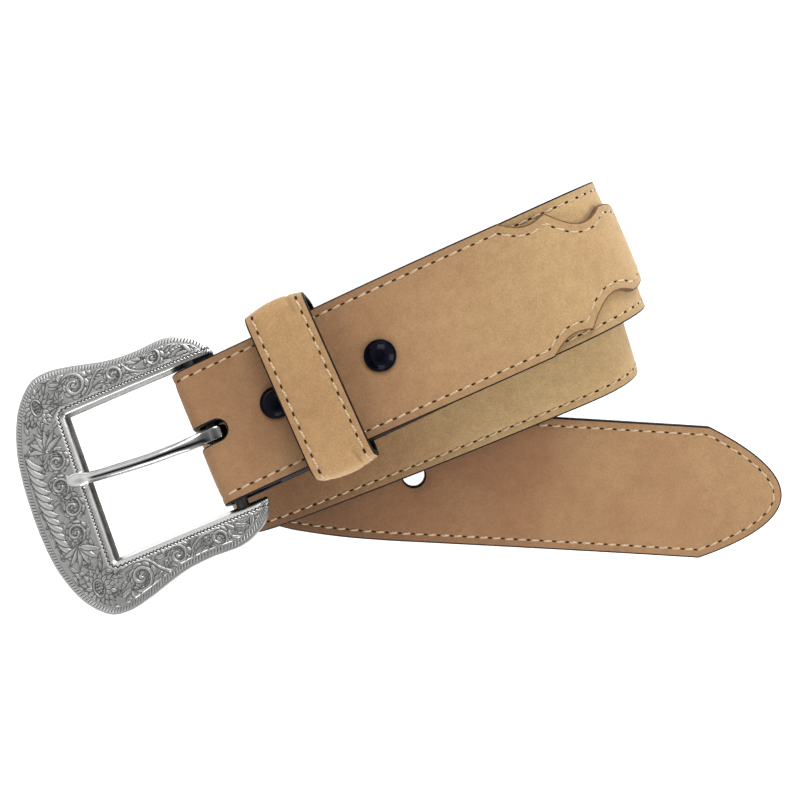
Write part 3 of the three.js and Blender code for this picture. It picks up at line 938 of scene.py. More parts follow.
@dataclass
class Strap:
    """The strap: tan nubuck outside, dark lining inside, stitched all round, with five belt holes."""

    coil: Coil
    tip_length: float = 22.0
    hole_diameter: float = 6.3
    first_hole: float = 105.3
    hole_spacing: float = 25.4
    hole_count: int = 5
    post_hole: float = 3.6
    # Rows of distance, light and shade. Light is yellower at the bends; its dips and the shade column are
    # painted shade where other passes shade the strap.
    tones_and_painted_shade: tuple[Colour, ...] = (
        (0, 0.32, 0.1), (55, 0.45, 0), (80, 0.75, 0), (105, 0.95, 0), (170, 0.7, 0), (330, 0.1, 0.5),
        (352, 0.3, 0.3), (372, 0.7, 0.08), (390, 0.95, 0), (430, 1, 0), (480, 0.6, 0), (580, 0.1, 0.3),
        (625, 0, 0.42), (650, 0.02, 0.3), (675, 0.1, 0.12), (700, 0.3, 0), (747, 0.42, 0),
    )

    def outline(self) -> Array:
        """The strap's outline, from its butt end along one edge, round the tip and back."""
        body = self.coil.length - self.tip_length
        edge = np.arange(0, body, 1.5)
        half = self.tip_length * (1 - np.linspace(0, 1, 22)[:-1]) ** 2
        low = np.concatenate([np.stack([edge, np.full(len(edge), -HALF_STRAP)], 1), self._tip(half, -1)])
        nose = np.array([[self.coil.length, 0.0]])
        high = low[::-1] * (1, -1)
        return np.concatenate([low, nose, high, end_row(0, HALF_STRAP, 18)])

    def _tip(self, left: Array, side: int) -> Array:
        """Points of the tip's edge at distances left from its end."""
        y = side * HALF_STRAP * np.sqrt(left / self.tip_length)
        return np.stack([self.coil.length - left, y], 1)

    def lay(self, flat: Array, z: Array) -> Array:
        """Lays flat points with a height on the coil."""
        f = self.coil.at(flat[:, 0])
        return f.p - f.w * flat[:, 1:2] - f.n * z[:, None]

    def panel(self) -> Panel:
        """The strap as it is cut."""
        holes = [
            circle(self.coil.length - self.first_hole - i * self.hole_spacing, 0, self.hole_diameter / 2, 32)
            for i in range(self.hole_count)
        ]
        posts = [circle(f - FOLD_TO_BUTT, 0, self.post_hole / 2, 20) for f in SNAPS_FROM_FOLD]
        return Panel("strap_leather", self.outline(), STRAP_THICKNESS, self.lay, [*holes, *posts])

    def tones_and_painted_shade_at(self, s: Array) -> dict[str, Array]:
        """How yellow and how dark the nubuck is at distances s: yellower where it pulls up at the bends,
        browner and darker with painted shade where other passes shade it.
        """
        at, light, shade = zip(*self.tones_and_painted_shade)
        return {"light": np.interp(s, at, light), "shade": np.interp(s, at, shade)}

    def build(self, finishes: "Finishes") -> None:
        """Makes the leather and its stitching."""
        panel = self.panel()
        points, faces, skins, marks, flat = panel.build()
        marks |= self.tones_and_painted_shade_at(flat[:, 0])
        skin = [finishes.strap, finishes.edge, finishes.lining]
        piece = make_piece("strap_leather", points, faces, skin, Body.BELT, skins, marks)
        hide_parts("strap")
        lines = [(sewn_line(panel.outline, panel.groove_inset), True)]
        LeatherLine().sew(panel, lines, (1, -1), finishes)


@dataclass(frozen=True)
class Bite:
    """A scooped bite in the billet's edge, placed from the fold and measured in from the strap's edge."""

    start: float
    end: float
    deepest: float
    end_inset: float


@dataclass
class Billet:
    """The layer that holds the buckle: scalloped on top, folded round the bar and tabbed underneath."""

    coil: Coil
    bites: tuple[Bite, ...] = (Bite(95.3, 107.2, 3.3, 2.4), Bite(107.2, 122.4, 8.6, 6.6))
    lobe_end: float = 141.0
    tab: float = 64.2
    slot_width: float = 5.5
    slot_past_bar: float = 4.2
    post_hole: float = 3.6
    yellow_at_fold: float = 0.22
    yellow_gain: float = 0.7
    yellow_run: Row = (25, 125)
    keeper_shade: Row = (26, 16, 0.16)
    fold_shade: float = 0.1
    stitches_past_fold: float = 1.9

    @property
    def fold_length(self) -> float:
        """Length of the fold along its middle."""
        return math.pi * BILLET_MIDDLE

    def _far_edge(self) -> Array:
        """The scalloped edge at y over 0, from the fold to the lobe's end, as distance from the butt."""
        rows, inset = [], 0.0
        for bite in self.bites:
            u = np.linspace(0, 1, 1 + round((bite.end - bite.start) / 0.7))[:-1]
            scoop = bite.deepest - (inset + bite.end_inset) / 2
            depth = inset + (bite.end_inset - inset) * u + scoop * np.sin(np.pi * u)
            rows.append(np.stack([bite.start + (bite.end - bite.start) * u, HALF_STRAP - depth], 1))
            inset = bite.end_inset
        u = np.sin(np.linspace(0, math.pi / 2, 26))
        start = self.bites[-1].end
        lobe = (HALF_STRAP - inset) * np.sqrt(np.maximum(1 - u * u, 0))
        rows.append(np.stack([start + (self.lobe_end - start) * u, lobe], 1))
        edge = np.concatenate(rows)
        edge[:, 0] -= FOLD_TO_BUTT
        return edge

    def outline(self) -> Array:
        """The billet's outline, unrolled. Its x runs back from the lobe, over the fold and under."""
        end = -FOLD_CENTRE - self.fold_length - (self.tab - FOLD_TO_BUTT + FOLD_CENTRE)
        scallops = self._far_edge()
        xs = np.arange(end, scallops[0, 0] - 0.5, 1.0)
        low = np.stack([xs, np.full(len(xs), -HALF_STRAP)], 1)
        far = np.concatenate([scallops * (1, -1), scallops[::-1][1:]])
        return np.concatenate([low, far, low[::-1] * (1, -1), end_row(end, HALF_STRAP, 18)])

    def slot(self) -> Array:
        """The prong's slot, unrolled over the fold."""
        top = self.slot_past_bar - BAR_TO_BUTT
        under = -2 * FOLD_CENTRE - self.fold_length - top
        r = self.slot_width / 2
        a = np.linspace(-np.pi / 2, np.pi / 2, 13)
        nose = np.stack([top - r + r * np.cos(a), r * np.sin(a)], 1)
        tail = np.stack([under + r - r * np.cos(a), -r * np.sin(a)], 1)
        run = np.linspace(under + r, top - r, 14)[1:-1]
        return np.concatenate(
            [nose, np.stack([run[::-1], np.full(12, r)], 1), tail, np.stack([run, np.full(12, -r)], 1)]
        )

    def lay(self, flat: Array, z: Array) -> Array:
        """Lays unrolled points with a height over the strap, round the fold and under it."""
        x, y = flat[:, 0], flat[:, 1:2]
        angle = np.clip((-FOLD_CENTRE - x) / BILLET_MIDDLE, 0, np.pi)
        under = np.maximum(-FOLD_CENTRE - self.fold_length - x, 0)
        f = self.coil.at(np.maximum(x, -FOLD_CENTRE) + under)
        out = -f.n * np.cos(angle)[:, None] - f.t * np.sin(angle)[:, None]
        return f.p - f.w * y + out * (BILLET_MIDDLE + z)[:, None]

    def panel(self) -> Panel:
        """The billet as it is cut."""
        posts = []
        for f in SNAPS_FROM_FOLD:
            top = f - FOLD_TO_BUTT
            under = -2 * FOLD_CENTRE - self.fold_length - top
            posts += [circle(top, 0, self.post_hole / 2, 20), circle(under, 0, self.post_hole / 2, 20)]
        return Panel(
            "billet_leather", self.outline(), BILLET_THICKNESS, self.lay, [self.slot(), *posts],
            step=(1.2, 2.4), edge_round=0.4, lining_grooved=False,
        )

    def stitch_lines(self, panel: Panel) -> list[tuple[Array, bool]]:
        """The sewn lines: one along the top and its scallops, and one round the tab underneath."""
        line = sewn_line(panel.outline, panel.groove_inset)
        top = line[line[:, 0] > -FOLD_CENTRE - self.stitches_past_fold]
        start = int(np.argmax(np.linalg.norm(top - np.roll(top, 1, 0), axis=1)))
        top = np.roll(top, -start, 0)
        under = line[line[:, 0] < -FOLD_CENTRE - self.fold_length + 0.5]
        start = int(np.argmax(np.linalg.norm(under - np.roll(under, 1, 0), axis=1)))
        return [(top, False), (np.roll(under, -start, 0), False)]

    def build(self, finishes: "Finishes") -> None:
        """Makes the leather and its stitching."""
        panel = self.panel()
        points, faces, skins, marks, flat = panel.build()
        s = np.maximum(flat[:, 0], 0)
        at, reach, depth = self.keeper_shade
        marks["light"] = self.yellow_at_fold + self.yellow_gain * smooth(s, *self.yellow_run)
        # Painted shade: the shade mark darkens the billet beside the keeper and next to the fold.
        marks["shade"] = depth * np.exp(-(((s - at) / reach) ** 2)) + self.fold_shade * smooth(6 - s, 0, 12)
        skin = [finishes.billet, finishes.edge, finishes.edge, finishes.cut]
        scalloped = self.bites[0].start - FOLD_TO_BUTT
        corner = flat[[face[0] for face in faces], 0]
        skins[(skins == Skin.EDGE.value) & (corner > scalloped)] = Skin.CUT.value
        piece = make_piece("billet_leather", points, faces, skin, Body.BELT, skins, marks)
        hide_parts("billet")
        LeatherLine().sew(panel, self.stitch_lines(panel), (1,), finishes)


@dataclass
class Keeper:
    """The stitched loop that holds the strap's tip."""

    coil: Coil
    from_fold: float = 26.7
    width: float = 16.7
    thickness: float = 1.8
    gap: float = 0.6
    inner_width: float = 43.0
    headroom: float = 5.6
    shift: float = -0.9
    corner: float = 3.6
    arch: float = 0.5
    end_bulge: float = 1.2
    bulge_reach: float = 3.5
    arch_rise: float = 4.0
    stitch_pitch: float = 3.9

    def __post_init__(self) -> None:
        """Works out the loop's middle line, seen along the strap."""
        half = (self.inner_width + self.thickness) / 2
        low = -BILLET_FACE - self.gap - self.thickness / 2
        high = BILLET_FACE + self.headroom + self.thickness / 2
        r = self.corner
        right, bottom, top = half - r, low + r, high - r
        corners = ((right, bottom, -90), (right, top, 0), (-right, top, 90), (-right, bottom, 180))
        line = [np.array([[0.0, low]])]
        for y, z, start in corners:
            a = np.radians(np.linspace(start, start + 90, 12))
            line.append(np.stack([y + r * np.cos(a), z + r * np.sin(a)], 1))
        line = np.vstack([*line, [[0.0, low]]])
        dense = spaced_evenly(line, 900)
        self.half, self.middle_height = half, (low + high) / 2
        self.line = dense
        self.length = float(np.linalg.norm(np.diff(dense, axis=0), axis=1).sum())
        self.place = self.coil.matrix(self.from_fold + self.width / 2 - FOLD_TO_BUTT)

    def lay(self, flat: Array, z: Array) -> Array:
        """Lays unrolled points with a height round the loop."""
        at = np.linspace(0, self.length, len(self.line))
        x = np.clip(flat[:, 0], 0, self.length)
        y = np.interp(x, at, self.line[:, 0])
        up = np.interp(x, at, self.line[:, 1])
        d = 0.6
        ahead, back = np.clip(x + d, 0, self.length), np.clip(x - d, 0, self.length)
        ty = np.interp(ahead, at, self.line[:, 0]) - np.interp(back, at, self.line[:, 0])
        tz = np.interp(ahead, at, self.line[:, 1]) - np.interp(back, at, self.line[:, 1])
        size = np.hypot(ty, tz)
        ny, nz = tz / size, -ty / size
        belly = 1 - (2 * flat[:, 1] / self.width) ** 2
        side = smooth(np.abs(y), self.half - self.bulge_reach, self.half)
        y = y + np.sign(y) * side * self.end_bulge * belly
        top = smooth(up, self.middle_height, self.middle_height + self.arch_rise)
        up = up + self.arch * top * (1 - (y / (self.half + self.end_bulge)) ** 2)
        local = np.stack([flat[:, 1] + self.shift, y + ny * z, up + nz * z], 1)
        return placed(local, self.place)

    def panel(self) -> Panel:
        """The loop's strip as it is cut, with its ends meeting underneath."""
        xs = np.arange(0.0, self.length, 0.7)
        xs = np.append(xs[:-1], self.length)
        half = self.width / 2
        low = np.stack([xs, np.full(len(xs), -half)], 1)
        ends = np.linspace(-half, half, 15)[1:-1]
        right = np.stack([np.full(13, self.length), ends], 1)
        left = np.stack([np.zeros(13), ends[::-1]], 1)
        outline = np.concatenate([low, right, low[::-1] * (1, -1), left])
        return Panel(
            "keeper_leather", outline, self.thickness, self.lay, step=(0.8, 1.6), edge_round=0.4,
            groove_inset=2.1, groove_depth=0.16, puff=0.1, lining_grooved=False,
        )

    def build(self, finishes: "Finishes") -> None:
        """Makes the leather and its two sewn lines."""
        panel = self.panel()
        points, faces, skins, marks, flat = panel.build()
        end = np.abs(flat[:, 0] / self.length - 0.5) * 2
        marks["light"] = 0.45 + 0.35 * smooth(end, 0.25, 0.5)
        marks["shade"] = np.zeros(len(flat))
        skin = [finishes.keeper, finishes.edge, finishes.edge]
        piece = make_piece("keeper_leather", points, faces, skin, Body.BELT, skins, marks)
        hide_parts("keeper")
        y = self.width / 2 - panel.groove_inset
        xs = np.linspace(1.5, self.length - 1.5, 200)
        lines = [(np.stack([xs, np.full(200, side * y)], 1), False) for side in (-1, 1)]
        LeatherLine(pitch=self.stitch_pitch).sew(panel, lines, (1,), finishes)


def revolved(profile: Array, sides: int) -> tuple[Array, list]:
    """A closed solid turned about z from a profile of radius and height, from axis to axis."""
    a = np.arange(sides) * 2 * np.pi / sides
    rings = [np.stack([r * np.cos(a), r * np.sin(a), np.full(sides, z)], 1) for r, z in profile[1:-1]]
    ends = np.array([[0, 0, profile[0][1]], [0, 0, profile[-1][1]]])
    points = np.concatenate([*rings, ends])
    k = np.arange(sides)
    nexts = (k + 1) % sides
    faces = tube_quads(len(rings), sides).tolist()
    first, last = len(points) - 2, len(points) - 1
    faces += [[first, b, a0] for a0, b in zip(k, nexts)]
    top = (len(rings) - 1) * sides
    faces += [[last, top + a0, top + b] for a0, b in zip(k, nexts)]
    return points, faces


@dataclass
class Snap:
    """A press snap through all the layers: a low domed cap with a rolled rim, a post and a back disc."""

    coil: Coil
    number: int
    cap_radius: float = 4.3
    cap_height: float = 1.7
    post_radius: float = 1.5
    back_radius: float = 2.5
    back_height: float = 1.0
    back_round: float = 0.3
    lip: float = 0.15
    roll_radius: float = 0.34
    roll_height: float = 0.36
    roll_middle: float = 0.42
    channel: float = 0.62
    crown_inset: float = 0.7
    crown_foot: float = 0.66
    crown_power: float = 2.6
    crown_start: float = 0.9
    sides: int = 72

    def profile(self) -> Array:
        """Radius and height of the snap, from the back to the top of the cap."""
        under = BILLET_FACE + LAYER_GAP * 0.2
        back = -BILLET_FACE - LAYER_GAP
        r, top = self.cap_radius, BILLET_FACE + LAYER_GAP + self.cap_height
        foot, edge = back - self.back_height, self.back_round
        roll, crown = self.roll_radius, top - under - self.crown_foot
        rows = [(0, foot), (self.back_radius - edge, foot)]
        rows += [(self.back_radius, foot + edge), (self.back_radius, back)]
        rows += [(self.post_radius, back), (self.post_radius, under), (r - self.lip, under)]
        for a in np.radians(np.linspace(-60, 100, 11)):
            height = self.roll_middle + self.roll_height * math.sin(a)
            rows.append((r - roll + roll * math.cos(a), under + height))
        rows.append((r - self.channel, under + self.channel))
        for u in np.linspace(self.crown_start, 0.0, 11)[:-1]:
            rise = crown * (1 - (u / self.crown_start) ** self.crown_power)
            rows.append(((r - self.crown_inset) * u / self.crown_start, under + self.crown_foot + rise))
        rows.append((0, top))
        return np.array(rows)

    def build(self, finishes: "Finishes") -> None:
        """Makes the snap."""
        points, faces = revolved(self.profile(), self.sides)
        place = self.coil.matrix(SNAPS_FROM_FOLD[self.number - 1] - FOLD_TO_BUTT)
        name = f"snap_cap_{self.number}"
        piece = make_piece(name, placed(points, place), faces, [finishes.enamel], Body.BELT)
        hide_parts(f"snap_{self.number}")


@dataclass
class Leaf:
    """A raised leaf or stem of the engraving: a spine in the buckle's plane and its half width along it."""

    spine: Array
    half_width: float
    rise: float = 0.19
    vein: float = 0.06
    even: bool = False
    MARGIN: ClassVar[float] = 0.7
    HATCH_PITCH: ClassVar[float] = 0.62
    HATCH_SLANT: ClassVar[float] = 0.9
    HATCH_DEPTH: ClassVar[float] = 0.02
    VEIN_WIDTH: ClassVar[float] = 0.13
    VEINED_FROM: ClassVar[float] = 0.3
    HATCHED_FROM: ClassVar[float] = 0.4
    GROOVE_WIDTH: ClassVar[float] = 0.2
    GROOVE_DEPTH: ClassVar[float] = 0.06
    CLEAN, VEIN_DARK, HATCH_DARK, GROOVE_DARK = 0.04, 0.5, 0.42, 0.9

    def widths(self) -> Array:
        """Half width at each point of the spine."""
        t = np.linspace(0, 1, len(self.spine))
        if self.even:
            return self.half_width * np.minimum(1, 8 * t * (1 - t) + 0.35)
        return self.half_width * np.maximum(np.sin(np.pi * t**0.62) ** 0.8, 0.02)

    def press(self, points: Array, relief: Array, patina: Array, covered: Array) -> None:
        """Presses the leaf into a relief: its body, its outline, its vein and its hatching.

        Args:
            points: The relief's points in the buckle's plane.
            relief: Height of each point, changed in place.
            patina: How dark each point is, changed in place.
            covered: Which points some leaf covers, changed in place.
        """
        reach = self.half_width + self.MARGIN
        low, high = self.spine.min(0) - reach, self.spine.max(0) + reach
        near = np.flatnonzero(((points > low) & (points < high)).all(1))
        if not len(near):
            return
        away = points[near][:, None] - self.spine[None]
        gap = np.linalg.norm(away, axis=2)
        k = gap.argmin(1)
        d = gap[np.arange(len(near)), k]
        w = self.widths()[k]
        within = d < w
        share = np.clip(d / np.maximum(w, 1e-3), 0, 1)
        vein = np.exp(-((d / self.VEIN_WIDTH) ** 2)) * (w > self.VEINED_FROM) * (self.vein > 0)
        groove = np.exp(-(((d - w) / self.GROOVE_WIDTH) ** 2))
        stripe = np.cos((distances(self.spine)[k] - self.HATCH_SLANT * d) / self.HATCH_PITCH * 2 * np.pi)
        hatch = smooth(stripe, 0.1, 1) * share * (w > self.HATCHED_FROM)
        body = self.rise * np.sqrt(np.maximum(1 - share**2.4, 0))
        body = body - self.vein * vein - self.HATCH_DEPTH * hatch
        sunk = relief[near] - self.GROOVE_DEPTH / 2 * groove
        here = np.where(within, body, np.where(covered[near], relief[near], sunk))
        dark = np.where(within, self.CLEAN + self.VEIN_DARK * vein + self.HATCH_DARK * hatch, patina[near])
        relief[near] = here - self.GROOVE_DEPTH * groove
        patina[near] = np.maximum(dark, self.GROOVE_DARK * groove)
        covered[near] |= within


def spiral(centre: Array, radius: float, start: float, turns: float, inner: float = 0.2) -> Array:
    """A scroll's spine, from its outside to its eye.

    Args:
        centre: The eye's place in the plane.
        radius: Its outer radius in mm.
        start: The angle where it starts, in degrees.
        turns: How far it winds, with its sign as its hand.
        inner: The eye's radius as a share of the outer one.

    Returns:
        The spine's points.
    """
    u = np.linspace(0, 1, 60)
    a = np.radians(start) + 2 * np.pi * turns * u
    r = radius * (1 - (1 - inner) * u**0.85)
    return centre + np.stack([r * np.cos(a), r * np.sin(a)], 1)


def curled(start: Array, heading: float, length: float, bend: float) -> Array:
    """A spine that leaves a point in a direction and bends steadily, with angles in degrees."""
    u = np.linspace(0, 1, 14)
    a = np.radians(heading + bend * u)
    step = np.stack([np.cos(a), np.sin(a)], 1) * length / len(u)
    return start + np.concatenate([[[0, 0]], np.cumsum(step[:-1], 0)])


def acanthus(centre: Array, radius: float, start: float, turns: float, lobes: int = 9) -> list[Leaf]:
    """A scroll with curled lobes along its outside and its inside.

    Args:
        centre: The eye's place in the plane.
        radius: Its outer radius in mm.
        start: The angle where it starts, in degrees.
        turns: How far it winds, with its sign as its hand.
        lobes: Number of lobes.

    Returns:
        The leaves, in the order that they are pressed.
    """
    stem = spiral(centre, radius * 0.74, start, turns)
    hand = math.copysign(1, turns)
    leaves = []
    for side, size_share, reach in ((1, 0.62, 0.8), (-1, 0.36, 0.5)):
        for k in range(lobes):
            u = 0.03 + reach * k / lobes
            i = int(u * 59)
            way = stem[i + 1] - stem[i]
            heading = math.degrees(math.atan2(way[1], way[0]))
            size = radius * size_share * (1 - 0.45 * u)
            lobe = curled(stem[i], heading - side * hand * 52, size, side * hand * 70)
            leaves.append(Leaf(lobe, size * 0.36))
    leaves.append(Leaf(stem, radius * 0.1, even=True, vein=0))
    leaves.append(Leaf(circle(centre[0], centre[1], 0.05, 8), max(0.35, radius * 0.14), vein=0, even=True))
    return leaves


def blossom(centre: Array, radius: float, petals: int = 14) -> list[Leaf]:
    """A flower head: two rows of rayed petals, and an oval ring round a seeded middle."""
    leaves = []
    for inner, outer, shift in ((0.4, 1.0, 0), (0.34, 0.74, 0.5)):
        for k in range(petals):
            a = 360 / petals * (k + shift)
            way = np.array([0.85 * math.cos(math.radians(a)), math.sin(math.radians(a))])
            spine = curled(centre + way * radius * inner, a, radius * (outer - inner) * 0.95, 12)
            leaves.append(Leaf(spine, radius * 0.105, vein=0.08))
    ring = circle(0, 0, radius * 0.3, 48) * (0.75, 1.2) + centre
    leaves.append(Leaf(ring, 0.34, even=True, vein=0))
    for k in range(7):
        turn = k * math.pi / 3
        away = radius * 0.13 * np.array([0.75 * math.cos(turn), 1.2 * math.sin(turn)])
        spot = centre if k == 6 else centre + away
        leaves.append(Leaf(circle(spot[0], spot[1], 0.03, 6), 0.38, vein=0, even=True))
    return leaves


@dataclass
class Buckle:
    """The cast western frame: domed, with a plain bevel, a wriggle line, engraving and a roped rim.

    The section's rows are: chamfer with rise, run, foot and top; bevel with rise, start, run and power;
    dome with foot, rise, run and power; ground with where the engraving fades in at the inner and the
    outer edge.
    """

    coil: Coil
    thickness: float = 3.2
    droop: float = -0.5
    turn: float = 1.95
    shift: float = -0.25
    curve: float = 0.0011
    crest: float = -13.1
    window_half: float = 20.3
    window_depth: float = 36.0
    arm_end: float = 6.4
    bar_radius: float = 1.7
    bar_in_arm: float = 0.7
    bar_rings: int = 9
    edge_points: tuple[tuple[float, float], ...] = (
        (-54.4, 0), (-54, 9.5), (-52.6, 18), (-49, 27), (-43.5, 33), (-38.2, 34.3), (-31.6, 33.3),
        (-21, 30.5), (-13, 29.7), (-4, 29.9), (1.6, 28), (4.8, 25.6), (6.8, 21.8),
    )
    arm_scrolls: tuple[tuple[float, float, float, float, int], ...] = (
        (-31.4, 27.4, 5.4, 150, -1), (-20.2, 26, 4.5, 200, 1), (-8.6, 25.9, 4.2, 160, -1),
    )
    arm_stem: tuple[tuple[float, float], ...] = (
        (-37.5, 24.4), (-33, 23), (-28.4, 24), (-25.4, 27.4), (-22.2, 29.3), (-18, 28.4), (-15.4, 25.2),
        (-12.2, 23.6), (-9.2, 23.9), (-5.4, 26.6), (-2.2, 27.8), (0.6, 26.4),
    )
    arm_leaves: tuple[tuple[float, float, float, float], ...] = (
        (-15.8, 28.4, -60, 70), (-14.4, 28.6, -50, 50), (-26.2, 24.2, 20, -60), (-3.6, 24, 40, -50),
        (-2.4, 23.8, 20, -50), (-0.6, 27, -30, -50), (0.4, 26, -50, -50), (-38, 30.6, -40, 60),
        (-36.6, 31.6, -30, 50),
    )
    fan: tuple[Row, ...] = ((158, 24), (132, 16), (108, 6), (84, -6), (60, -16), (36, -24))
    bow_stem: tuple[tuple[float, float], ...] = (
        (-46.6, -13), (-46.9, -9.4), (-44, -6.6), (-40.6, -3.6), (-41.8, 0), (-46, 2.4), (-46.6, 5.4),
        (-43.4, 7.4), (-40.6, 10), (-42, 13),
    )
    chamfer: Row = (1.35, 0.95, 0.4, 0.9)
    bevel: Row = (0.72, 0.6, 1.8, 1.6)
    dome: Row = (0.95, 0.85, 5.6, 2.2)
    blend: float = 7
    rope_half: float = 0.62
    rope_rise: float = 0.04
    ground: Row = (2.9, 3.3, 1.95, 2.2)
    ground_sink: float = 0.07
    ground_rough: float = 0.008
    ground_dark: float = 0.34
    dark_spread: float = 0.06
    filling_shares: Row = (0.36, 0.52, 0.68, 0.8)
    back_steps: int = 9
    back_hollow: float = 0.35
    back_dark: float = 0.45
    bar_dark: float = 0.97
    filling_rows: int = 74
    ribs: int = 1000
    rib_points: int = 80

    def matrix(self) -> Array:
        """The frame's place: it lies a little askew in the fold, turned down about its bar."""
        place = self.coil.matrix(-BAR_TO_BUTT) @ turn_matrix("Z", -self.turn)
        slide = np.eye(4)
        slide[1, 3] = self.shift
        return place @ slide @ turn_matrix("Y", -self.droop)

    def fall(self, x: Array | float) -> Array | float:
        """How far the frame's middle surface falls at x."""
        return self.curve * ((x - self.crest) ** 2 - self.crest**2)

    def outer_edge(self) -> Array:
        """The outer edge from the arm's end at y under 0 round the bow to the other arm."""
        upper = np.array(self.edge_points)
        lower = upper[:0:-1] * (1, -1)
        ends = np.array([[self.arm_end, self.window_half]])
        return catmull(np.vstack([ends * (1, -1), lower, upper, ends]), 24)

    def window(self) -> Array:
        """The window's three sides, from the end of one arm to the end of the other."""
        x, y = -self.window_depth, self.window_half
        return np.array([[self.arm_end, -y], [x, -y], [x, y], [self.arm_end, y]])

    def ribs_of(self, count: int) -> tuple[Array, Array, Array, Array]:
        """Matching points of the inner and the outer edge.

        Args:
            count: Number of ribs.

        Returns:
            Inner points, outer points, and the distances along the inner and the outer edge.
        """
        outer = self.outer_edge()
        at = distances(outer)
        x, y = -self.window_depth, self.window_half
        pairs = (
            ((self.arm_end, -y), (self.arm_end, -y)), ((5.8, -y), (6.8, -21.8)), ((3.4, -y), (4.8, -25.6)),
            ((0.6, -y), (1.6, -28)), ((-5, -y), (-4, -29.9)), ((-14, -y), (-13, -29.7)),
            ((-22, -y), (-21, -30.5)),
            ((-30, -y), (-31.6, -33.3)), ((-33.4, -y), (-38.2, -34.3)), ((x, -y), (-46.6, -30.2)),
            ((x, -y + 3.4), (-50.6, -23.5)), ((x, -10), (-53.9, -11)), ((x, 0), (-54.4, 0)),
        )

        outer_marks = [at[np.linalg.norm(outer - np.array(q), axis=1).argmin()] for _, q in pairs]
        inner_marks = [self.arm_end - p[0] + (p[1] + y) for p, _ in pairs]
        arm = self.arm_end - x
        total_in, total_out = 2 * arm + 2 * y, at[-1]
        inner_marks += [total_in - v for v in inner_marks[-2::-1]]
        outer_marks += [total_out - v for v in outer_marks[-2::-1]]
        s = np.linspace(0, total_out, count)
        inner_s = np.interp(s, outer_marks, inner_marks)
        corners = np.array([0, arm, arm + 2 * y, total_in])
        return between(corners, self.window(), inner_s), between(at, outer, s), inner_s, s

    def ornament(self) -> list[Leaf]:
        """The engraving: blossoms at the corners, scrolls on the arms, and feathers and a vine on the bow."""
        upper = []
        for x, y, heading, bend in self.arm_leaves:
            upper.append(Leaf(curled(np.array([x, y]), heading, 4.6, bend), 0.62, vein=0.09))
        upper.append(Leaf(catmull(np.array(self.arm_stem), 12), 0.42, even=True, vein=0))
        for cx, cy, size, start, hand in self.arm_scrolls:
            upper += acanthus(np.array([cx, cy]), size, start, 1.35 * hand)
        for lean, bend in self.fan:
            upper.append(Leaf(curled(np.array([-44.3, 13.6]), lean, 6.8, bend), 0.85, vein=0.1))
        upper += blossom(np.array([-43.2, 25.9]), 6.3)
        mirrored = [replace(leaf, spine=leaf.spine * (1, -1)) for leaf in upper]
        feathers = []
        for y in np.arange(-17, 11, 2.2):
            feathers.append(Leaf(curled(np.array([-47.4 + 0.006 * y * y, y]), 152, 8.6, -64), 0.86, vein=0.1))
        vine = [Leaf(catmull(np.array(self.bow_stem), 12), 0.4, even=True, vein=0)]
        for k, y in enumerate((-9.9, -3.3, 3.3, 9.9)):
            hand = 1 if k % 2 else -1
            vine += acanthus(np.array([-43.6 + 0.7 * hand, y]), 4.1, 90 * hand, -1.35 * hand)
        return feathers + vine + upper + mirrored

    def filling(self, rng: np.random.Generator) -> list[Leaf]:
        """Small leaves strewn along the band, under the main engraving."""
        inner, outer, _, _ = self.ribs_of(self.filling_rows)
        way = np.degrees(np.arctan2(*np.gradient(outer, axis=0).T[::-1]))
        leaves = []
        for a, b, heading in zip(inner, outer, way):
            for share in self.filling_shares:
                root = a + (b - a) * (share + rng.uniform(-0.05, 0.05))
                lean = heading + rng.uniform(-55, 55) + rng.choice((0, 180))
                spine = curled(root, lean, rng.uniform(2.6, 4.2), rng.uniform(-70, 70))
                leaves.append(Leaf(spine, 0.55, rise=0.12))
        return leaves

    def relief(self, plane: Array) -> tuple[Array, dict[str, Array]]:
        """The face's height over the middle surface in mm, and its marks for the silver."""
        inner_gap = self._open_distance(plane, self.window())
        outer_gap = self._open_distance(plane, self.outer_edge()[::3])
        rise, run, foot, top = self.chamfer
        chamfer = np.minimum(rise * np.clip(inner_gap / run, 0, 1) - foot, top)
        rise, start, run, power = self.bevel
        bevel = chamfer + rise * (1 - (1 - np.clip((inner_gap - start) / run, 0, 1)) ** power)
        foot, rise, run, power = self.dome
        dome = foot + rise * (1 - (1 - np.clip(outer_gap / run, 0, 1)) ** power)
        height = -np.log(np.exp(-self.blend * bevel) + np.exp(-self.blend * dome)) / self.blend
        ground = smooth(inner_gap, *self.ground[:2]) * smooth(outer_gap, *self.ground[2:])
        rng = np.random.default_rng(SEED)
        relief = -self.ground_sink + self.ground_rough * rng.standard_normal(len(plane))
        patina = np.full(len(plane), self.ground_dark) + self.dark_spread * rng.standard_normal(len(plane))
        covered = np.zeros(len(plane), bool)
        for leaf in self.filling(rng) + self.ornament():
            leaf.press(plane, relief, patina, covered)
        rope = np.clip(1 - ((outer_gap - ROPE_AT) / self.rope_half) ** 2, 0, 1)
        height += relief * ground + self.rope_rise * rope
        # Painted shade: the window's inner edge is darkened on the bow side, and more lightly along the arm
        # at y over 19 mm.
        shaded = np.maximum(smooth(-plane[:, 0], 34.5, 36.5), 0.6 * smooth(plane[:, 1], 19, 20.5))
        patina = np.clip(patina, 0, 1) * ground + 0.85 * smooth(0.95 - inner_gap, 0, 0.15) * shaded
        patina = np.maximum(patina, 0.3 * smooth(1.9 - outer_gap, 0, 0.2))
        return height, {"patina_and_painted_shade": patina, "inner_gap": inner_gap, "outer_gap": outer_gap}

    def _open_distance(self, points: Array, line: Array) -> Array:
        """Distance of flat points from an open line."""
        loop = np.vstack([line, line[-2:0:-1]])
        return edge_distance(points, [loop])

